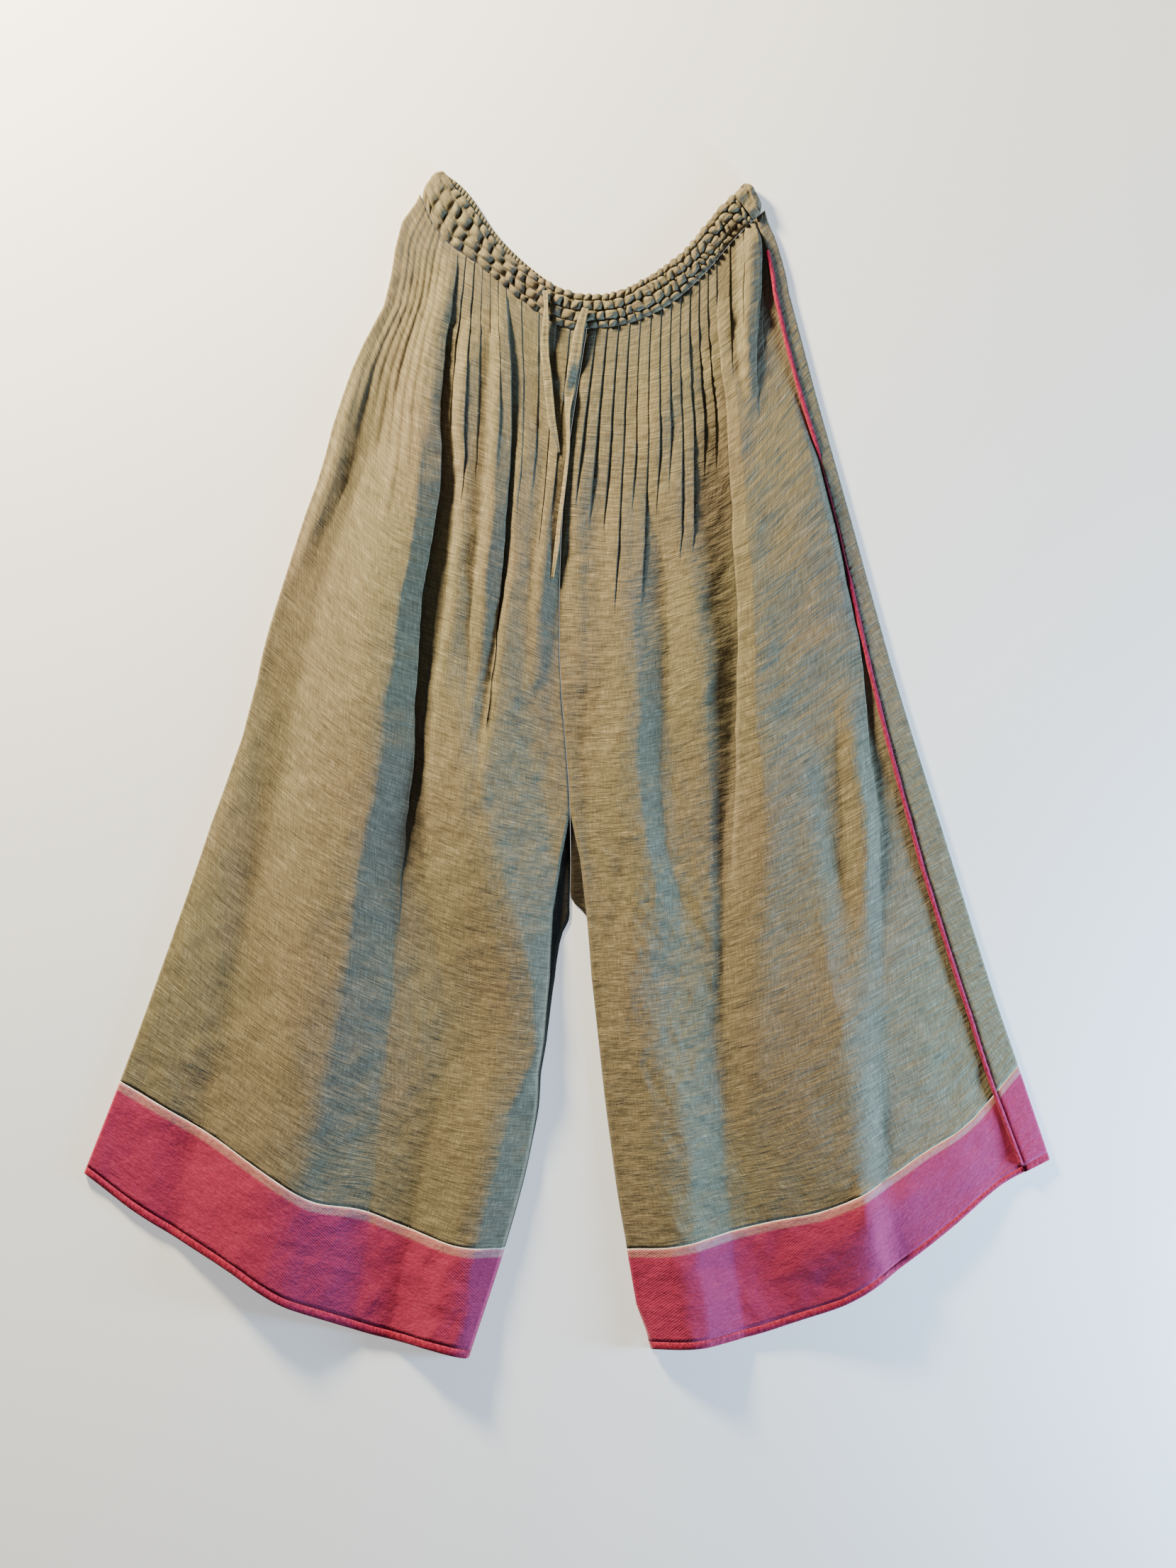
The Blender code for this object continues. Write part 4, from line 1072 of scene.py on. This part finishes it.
def tube_object(name, skin, length, radius, material):
    """A closed tube from rings of points, with its UV map in metres."""
    rows, around = skin.shape[:2]
    index = np.arange(rows * around).reshape(rows, around)
    turned = np.roll(index, -1, axis=1)
    quads = np.stack([index[:-1], turned[:-1], turned[1:], index[1:]], axis=2).reshape(-1, 4)
    faces = quads.tolist() + [index[0, ::-1].tolist(), index[-1].tolist()]
    mesh = bpy.data.meshes.new(name)
    mesh.from_pydata(((skin.reshape(-1, 3) - MIDDLE) * MM).tolist(), [], faces)
    layer = mesh.uv_layers.new(name="cloth")
    turn = 2 * math.pi * radius / around
    for face in mesh.polygons:
        wrap = len(face.vertices) == 4
        for loop in face.loop_indices:
            vertex = mesh.loops[loop].vertex_index
            row, spot = divmod(vertex, around)
            if wrap and spot == 0 and any(mesh.loops[other].vertex_index % around == around - 1
                                          for other in face.loop_indices):
                spot = around
            layer.data[loop].uv = (spot * turn * MM, length[row] * MM)
    made = link_object(name, mesh)
    select_only(made)
    bpy.ops.object.mode_set(mode="EDIT")
    bpy.ops.mesh.select_all(action="SELECT")
    bpy.ops.mesh.normals_make_consistent(inside=False)
    bpy.ops.object.mode_set(mode="OBJECT")
    made.select_set(False)
    mesh.shade_smooth()
    mesh.materials.append(material)
    return made


def ribbon(name, stops, material):
    """A flat tie along its stops, turned on edge where they say."""
    keys = np.linspace(0.0, 1.0, len(stops))
    values = table_line(keys, [tuple(stop) for stop in stops], np.linspace(0.0, 1.0, TIE_ROWS))
    line = values[:, :3] - (0.0, 0.0, TIE_DROP)
    side, up = line_frame(line)
    turn = np.radians(values[:, 4])[:, None]
    wide = np.cos(turn) * side + np.sin(turn) * up
    thick = np.cos(turn) * up - np.sin(turn) * side
    section = np.array([(part, face * (1.0 - 0.5 * part ** 4) + 0.45 * math.sin(3.1 * part))
                        for face in (0.5, -0.5) for part in 2 * face * np.linspace(-1.0, 1.0, 9)])
    half = values[:, 3] / 2
    skin = (line[:, None] + wide[:, None] * (section[None, :, 0] * half[:, None])[:, :, None]
            + thick[:, None] * (section[None, :, 1] * TIE_CLOTH)[:, :, None])
    length = run_length(line)
    made = tube_object(name, skin, length, TIE_DIAMETER / math.pi, material)
    return made


# Colour of the painted shade in the cloth's creases, tucks and gathers and beside its sharp fold edges
PAINTED_SHADE_COLOUR = (0.016, 0.010, 0.005)

# Where the white line and the stripe of a hem band end: still full, and gone, in metres below its top
LINE_END = (0.0005, 0.0013)
STRIPE_END = (0.0068, 0.0086)

# Strength of the white glow that keeps the pale floor even
FLOOR_GLOW = 0.5

# Soft lights: name, setting with the power, place, aim, size and colour
LIGHTS = (
    ("warm_light", "key", (-0.92, 1.32, 0.58), (-0.05, 0.13, 0.0), 0.30, (0.97, 0.83, 0.54)),
    ("cool_light", "fill", (1.10, -0.48, 0.27), (0.12, -0.02, 0.0), 0.32, (0.36, 0.64, 1.0)),
)


def new_material(name):
    """An empty material with a Principled shader on its output."""
    material = bpy.data.materials.new(name)
    material.use_nodes = True
    return material, material.node_tree, material.node_tree.nodes["Principled BSDF"]


def feed(tree, node, values):
    """Give a node's inputs their values, each a number, a colour or another node's output."""
    for key, value in values.items():
        if isinstance(value, bpy.types.NodeSocket):
            tree.links.new(value, node.inputs[key])
        else:
            node.inputs[key].default_value = value


def add_node(tree, kind, values, **settings):
    """A node with its settings and its inputs."""
    made = tree.nodes.new(kind)
    for key, value in settings.items():
        setattr(made, key, value)
    feed(tree, made, values)
    return made


def cloth_map(tree, scale, turn=0.0):
    """The cloth's own UV map, scaled and turned."""
    where = add_node(tree, "ShaderNodeUVMap", {}, uv_map="cloth")
    moved = add_node(tree, "ShaderNodeMapping",
                     {"Vector": where.outputs["UV"], "Scale": scale, "Rotation": (0.0, 0.0, turn)})
    return moved.outputs["Vector"]


def noise(tree, scale, detail=2.0, turn=0.0):
    """Noise on the cloth whose cells have the given number a metre, across and along."""
    vector = cloth_map(tree, (scale[0], scale[1], 1.0), turn)
    made = add_node(tree, "ShaderNodeTexNoise", {"Vector": vector, "Scale": 1.0, "Detail": detail})
    return made.outputs["Fac"]


def ramp(tree, value, stops):
    """A colour ramp from stops of position and grey or colour."""
    made = add_node(tree, "ShaderNodeValToRGB", {"Fac": value})
    elements = made.color_ramp.elements
    for number, (place, colour) in enumerate(stops):
        element = elements[number] if number < 2 else elements.new(place)
        element.position = place
        element.color = (*colour, 1.0) if hasattr(colour, "__len__") else (colour, colour, colour, 1.0)
    return made.outputs["Color"]


def blend_colour(tree, share, first, second, kind="MIX"):
    """Two colours mixed by a share."""
    first, second = [(*colour, 1.0) if isinstance(colour, tuple) else colour for colour in (first, second)]
    made = add_node(tree, "ShaderNodeMix", {}, data_type="RGBA", blend_type=kind)
    feed(tree, made, {0: share, 6: first, 7: second})
    return made.outputs[2]


def sums(tree, kind, first, second):
    """One sum of two values."""
    return add_node(tree, "ShaderNodeMath", {0: first, 1: second}, operation=kind).outputs[0]


def weighted(tree, *parts):
    """Values added up, each times its own weight."""
    total = None
    for value, weight in parts:
        scaled = value if weight == 1.0 else sums(tree, "MULTIPLY", value, weight)
        total = scaled if total is None else sums(tree, "ADD", total, scaled)
    return total


def edge_share(tree, value, full, gone):
    """A share that is 1 up to one value and has gone at the other."""
    made = add_node(tree, "ShaderNodeMapRange", {"Value": value, "From Min": full, "From Max": gone,
                                                 "To Min": 1.0, "To Max": 0.0})
    return made.outputs["Result"]


def shades(colour, dark, gain, lift):
    """A colour's darker shade, itself and its lighter one."""
    plain = tuple(colour)
    deep = tuple(value * dark for value in plain)
    return deep, plain, tuple(min(1.0, value * gain + lift) for value in plain)


def finish_cloth(tree, shader, colour, height, distance, roughness, sheen):
    """Colour, bump and sheen of a cloth."""
    bump = add_node(tree, "ShaderNodeBump", {"Height": height, "Strength": 1.0, "Distance": distance})
    feed(tree, shader, {"Base Color": colour, "Normal": bump.outputs["Normal"], "Roughness": roughness,
                        "Specular IOR Level": 0.25, "Sheen Weight": sheen, "Sheen Roughness": 0.5})


def linen_material(name, settings, gathered=1.0, light=1.0):
    """Natural linen: heathered threads both ways, crosswise slubs, a faint tint and painted shade."""
    material, tree, shader = new_material(name)
    weft = noise(tree, (80.0 / gathered, 850.0), 3.0)
    warp = noise(tree, (850.0, 95.0), 2.0)
    streak = noise(tree, (26.0, 400.0), 2.0)
    slub = noise(tree, (60.0, 820.0), 1.0)
    cloud = noise(tree, (7.0, 5.0), 2.0)
    threads = weighted(tree, (weft, 0.58), (warp, 0.42))
    dark, thread, bright = [tuple(light * value for value in colour)
                            for colour in (settings.dark, settings.thread, settings.pale)]
    body = ramp(tree, threads, ((0.30, dark), (0.56, thread), (0.78, bright)))
    long = ramp(tree, streak, ((0.38, 0.80), (0.62, 1.12)))
    body = blend_colour(tree, 0.55, body, long, "MULTIPLY")
    pale = ramp(tree, slub, ((0.63, 0.0), (0.76, 1.0)))
    body = blend_colour(tree, sums(tree, "MULTIPLY", pale, 0.35), body, tuple(settings.pale))
    tint = ramp(tree, cloud, ((0.36, (1.0, 0.99, 0.93)), (0.64, (1.04, 0.95, 0.97))))
    body = blend_colour(tree, 1.0, body, tint, "MULTIPLY")
    # Painted shade: the linen is drawn near-black wherever the mesh's painted shade attribute says
    groove = add_node(tree, "ShaderNodeAttribute", {}, attribute_name="groove").outputs["Fac"]
    body = blend_colour(tree, sums(tree, "MULTIPLY", groove, 0.95), body, PAINTED_SHADE_COLOUR)
    fold = noise(tree, (60.0, 130.0), 3.0, 0.4)
    crinkle = noise(tree, (42.0, 260.0), 2.0)
    height = weighted(tree, (threads, 1.0), (pale, 0.6), (fold, 3.0), (crinkle, 1.8))
    finish_cloth(tree, shader, body, height, 0.0004, 0.92, 0.12)
    return material


def twill_material(name, settings):
    """Pink twill with its diagonal lines, a white line and a greyish stripe along its top edge."""
    material, tree, shader = new_material(name)
    where = add_node(tree, "ShaderNodeUVMap", {}, uv_map="cloth")
    split = add_node(tree, "ShaderNodeSeparateXYZ", {"Vector": where.outputs["UV"]})
    wander = sums(tree, "MULTIPLY", noise(tree, (30.0, 30.0), 2.0), 0.0012)
    down = sums(tree, "ADD", split.outputs["Y"], wander)
    down = sums(tree, "SUBTRACT", down, BAND_DOWN * MM + 0.0006)
    line = edge_share(tree, down, *LINE_END)
    stripe = edge_share(tree, down, *STRIPE_END)
    wave = add_node(tree, "ShaderNodeTexWave",
                    {"Vector": cloth_map(tree, (1.0, 1.0, 1.0), math.radians(28.0)), "Scale": 190.0,
                     "Distortion": 1.2, "Detail": 2.0, "Detail Scale": 3.0}, bands_direction="Y")
    mottle = noise(tree, (300.0, 520.0), 3.0)
    weft = noise(tree, (55.0, 900.0), 2.0)
    deep, pink, light = shades(settings.twill, 0.76, 1.12, 0.02)
    body = weighted(tree, (mottle, 0.6), (weft, 0.4))
    body = ramp(tree, body, ((0.34, deep), (0.5, pink), (0.68, light)))
    lines = sums(tree, "MULTIPLY", wave.outputs["Fac"], 0.20)
    body = blend_colour(tree, lines, body, deep)
    body = blend_colour(tree, stripe, body, blend_colour(tree, mottle, tuple(settings.stripe), pink))
    body = blend_colour(tree, line, body, tuple(settings.line))
    crush = noise(tree, (70.0, 110.0), 3.0, 0.3)
    height = weighted(tree, (wave.outputs["Fac"], 0.3), (mottle, 1.0), (crush, 3.0))
    finish_cloth(tree, shader, body, height, 0.0004, 0.8, 0.12)
    return material


def trim_material(name, settings):
    """Crimson binding with short threads along it."""
    material, tree, shader = new_material(name)
    threads = noise(tree, (500.0, 300.0), 3.0, 0.6)
    deep, crimson, light = shades(settings.crimson, 0.55, 1.25, 0.015)
    body = ramp(tree, threads, ((0.32, deep), (0.5, crimson), (0.7, light)))
    finish_cloth(tree, shader, body, threads, 0.0005, 0.75, 0.1)
    return material


def floor_material(colour):
    """Pale plain floor."""
    material, tree, shader = new_material("studio_floor")
    grain = add_node(tree, "ShaderNodeTexNoise", {"Scale": 5.0, "Detail": 2.0})
    pale = tuple(colour)
    body = ramp(tree, grain.outputs["Fac"], ((0.4, tuple(value * 0.985 for value in pale)), (0.6, pale)))
    feed(tree, shader, {"Base Color": body, "Roughness": 0.9, "Specular IOR Level": 0.1,
                        "Emission Color": (1.0, 1.0, 1.0, 1.0), "Emission Strength": FLOOR_GLOW})
    return material


SIDES = ("right", "left")


def leg_rows():
    """Rows of points down a leg, from the waistband to the hem band."""
    return np.linspace(0.0, BAND_DOWN, int(BAND_DOWN / ROW_STEP) + 1)


def hem_rows():
    """Rows of points down a hem band."""
    return np.linspace(BAND_DOWN + 0.1, HEM_DOWN - EDGE_WIDTH - 0.1, HEM_ROWS)


def roll_rows():
    """Rows of points over a rolled hem edge."""
    return np.linspace(HEM_DOWN - EDGE_WIDTH, HEM_DOWN, ROLL_ROWS)


class TROUSERS_OT_camera(bpy.types.Operator):
    """Add the camera straight over the trousers"""
    bl_idname = "trousers.camera"
    bl_label = "Camera"

    def execute(self, context):
        bpy.ops.object.camera_add(location=(0.0174, -0.0186, 2.771), rotation=(0.0, 0.0, 0.0))
        camera = context.object
        camera.name = "camera_over_trousers"
        camera.data.sensor_fit = "VERTICAL"
        camera.data.sensor_height = 24.0
        camera.data.lens = 50.0
        context.scene.camera = camera
        return {"FINISHED"}


class TROUSERS_OT_ties(bpy.types.Operator):
    """Build the two free ends of the drawstring"""
    bl_idname = "trousers.ties"
    bl_label = "Drawstring ties"

    def execute(self, context):
        material = linen_material("drawstring_linen", context.scene.linen, light=1.25)
        for name, stops in (("tie_right", TIE_RIGHT), ("tie_left", TIE_LEFT)):
            settle(ribbon(name + "_ribbon", stops, material), name)
        return {"FINISHED"}


class TROUSERS_OT_backs(bpy.types.Operator):
    """Build the backs of both legs"""
    bl_idname = "trousers.backs"
    bl_label = "Backs"

    def execute(self, context):
        settings = context.scene.linen
        material = linen_material("back_linen", settings)
        for side in SIDES:
            name = "back_" + side + "_leg"
            rows = np.linspace(0.0, BAND_DOWN, BACK_ROWS)
            made = settle(back_piece(name + "_linen", side, rows, material, settings.cloth), name)
        return {"FINISHED"}


class TROUSERS_OT_fronts(bpy.types.Operator):
    """Build the fronts of both legs, with their tucks and folds"""
    bl_idname = "trousers.fronts"
    bl_label = "Fronts"

    def execute(self, context):
        settings = context.scene.linen
        material = linen_material("front_linen", settings)
        for side in SIDES:
            name = "front_" + side + "_leg"
            made = front_piece(name + "_linen", side, leg_rows(), material, settings.cloth)
            settle(made, name)
        return {"FINISHED"}


class TROUSERS_OT_hems(bpy.types.Operator):
    """Build the twill hem bands and their rolled edges"""
    bl_idname = "trousers.hems"
    bl_label = "Hems"

    def execute(self, context):
        settings = context.scene.hem
        cloth = context.scene.linen.cloth
        twill = twill_material("pink_twill", settings)
        crimson = trim_material("crimson_roll", settings)
        for side in SIDES:
            for layer, make, bead, under in (("back", back_piece, (), "studio_floor"),
                                             ("front", front_piece, (HEM_BEAD,),
                                              "hem_band_back_" + side + "_twill")):
                band = "hem_band_" + layer + "_" + side
                edge = "hem_edge_" + layer + "_" + side
                made = make(band + "_twill", side, hem_rows(), twill, cloth)
                roll = make(edge + "_roll", side, roll_rows(), crimson, 2 * cloth, *bead)
                settle(made, band)
                settle(roll, edge)
        return {"FINISHED"}


class TROUSERS_OT_waistband(bpy.types.Operator):
    """Build the shirred waistband, front and back"""
    bl_idname = "trousers.waistband"
    bl_label = "Waistband"

    def execute(self, context):
        material = linen_material("shirred_linen", context.scene.linen, 2.0)
        back = settle(waistband_back(material), "waistband_back")
        front = settle(waistband_front(material, context.scene.band), "waistband_front")
        return {"FINISHED"}


class TROUSERS_OT_piping(bpy.types.Operator):
    """Build the piping of the left side seam"""
    bl_idname = "trousers.piping"
    bl_label = "Piping"

    def execute(self, context):
        down = np.linspace(26.0, HEM_DOWN - EDGE_WIDTH - 2.0, PIPING_ROWS)
        inset = column(PIPED_SEAM, 1, down)
        place = plan("left", 1.0 - inset / leg_width("left", down), down)
        shown = column(PIPING_SHOWN, 1, place[:, 1])
        height = FRONT_LEVEL + PIPING_RISE + 0.15 * np.sin(down / 9.0) - PIPING_HIDDEN * (1.0 - shown)
        material = trim_material("crimson_cord", context.scene.hem)
        line = np.column_stack([place, height])
        made = round_trim("piping_left_trim", line, PIPING_RADIUS, material, shown)
        settle(made, "piping_left")
        return {"FINISHED"}


class TROUSERS_OT_stage(bpy.types.Operator):
    """Add the pale floor, the two soft lights and the ambient light"""
    bl_idname = "trousers.stage"
    bl_label = "Floor and lights"

    def execute(self, context):
        settings = context.scene.studio
        bpy.ops.mesh.primitive_plane_add(size=8.0, location=(0.0, 0.0, -0.0006))
        floor = context.object
        bpy.ops.object.transform_apply(location=True, rotation=False, scale=False)
        floor.name = "studio_floor"
        floor.data.materials.append(floor_material(settings.floor))
        for name, power, place, aim, size, colour in LIGHTS:
            aim = (Vector(place) - Vector(aim)).to_track_quat("Z", "Y").to_euler()
            bpy.ops.object.light_add(type="AREA", location=place, rotation=aim)
            lamp = context.object
            lamp.name = name
            lamp.data.shape = "DISK"
            lamp.data.size = size
            lamp.data.energy = getattr(settings, power)
            lamp.data.color = colour
        world = bpy.data.worlds.new("studio_air")
        context.scene.world = world
        world.use_nodes = True
        air = world.node_tree.nodes["Background"]
        air.inputs["Color"].default_value = (0.93, 0.95, 1.0, 1.0)
        air.inputs["Strength"].default_value = settings.sky
        return {"FINISHED"}


class TROUSERS_PT_panel(bpy.types.Panel):
    """The trousers' settings and one button for each group of pieces"""
    bl_label = "Flared linen trousers"
    bl_idname = "TROUSERS_PT_panel"
    bl_space_type = "VIEW_3D"
    bl_region_type = "UI"
    bl_category = "Trousers"

    def draw(self, context):
        for group, names in SETTINGS_SHOWN:
            box = self.layout.box()
            for name in names:
                box.prop(getattr(context.scene, group), name)
        for operator in OPERATORS:
            self.layout.operator(operator.bl_idname)


SETTINGS_SHOWN = (
    ("linen", ("thread", "dark", "pale", "cloth", "crumple")),
    ("band", ("pitch", "puff")),
    ("hem", ("twill", "stripe", "line", "crimson")),
    ("studio", ("key", "fill", "sky", "floor")),
)

OPERATORS = (TROUSERS_OT_camera, TROUSERS_OT_ties, TROUSERS_OT_stage, TROUSERS_OT_backs, TROUSERS_OT_fronts,
             TROUSERS_OT_hems, TROUSERS_OT_waistband, TROUSERS_OT_piping)
CLASSES = (LinenSettings, BandSettings, HemSettings, StudioSettings) + OPERATORS + (TROUSERS_PT_panel,)


def register():
    """Register the classes and the settings."""
    for item in CLASSES:
        bpy.utils.register_class(item)
    bpy.types.Scene.linen = PointerProperty(type=LinenSettings)
    bpy.types.Scene.band = PointerProperty(type=BandSettings)
    bpy.types.Scene.hem = PointerProperty(type=HemSettings)
    bpy.types.Scene.studio = PointerProperty(type=StudioSettings)


def unregister():
    """Take the classes and the settings out again."""
    for name in ("linen", "band", "hem", "studio"):
        delattr(bpy.types.Scene, name)
    for item in reversed(CLASSES):
        bpy.utils.unregister_class(item)


def main():
    """Build every piece."""
    register()
    bpy.ops.trousers.camera()
    bpy.ops.trousers.ties()
    bpy.ops.trousers.stage()
    bpy.ops.trousers.backs()
    bpy.ops.trousers.fronts()
    bpy.ops.trousers.hems()
    bpy.ops.trousers.waistband()
    bpy.ops.trousers.piping()


if __name__ == "__main__":
    main()
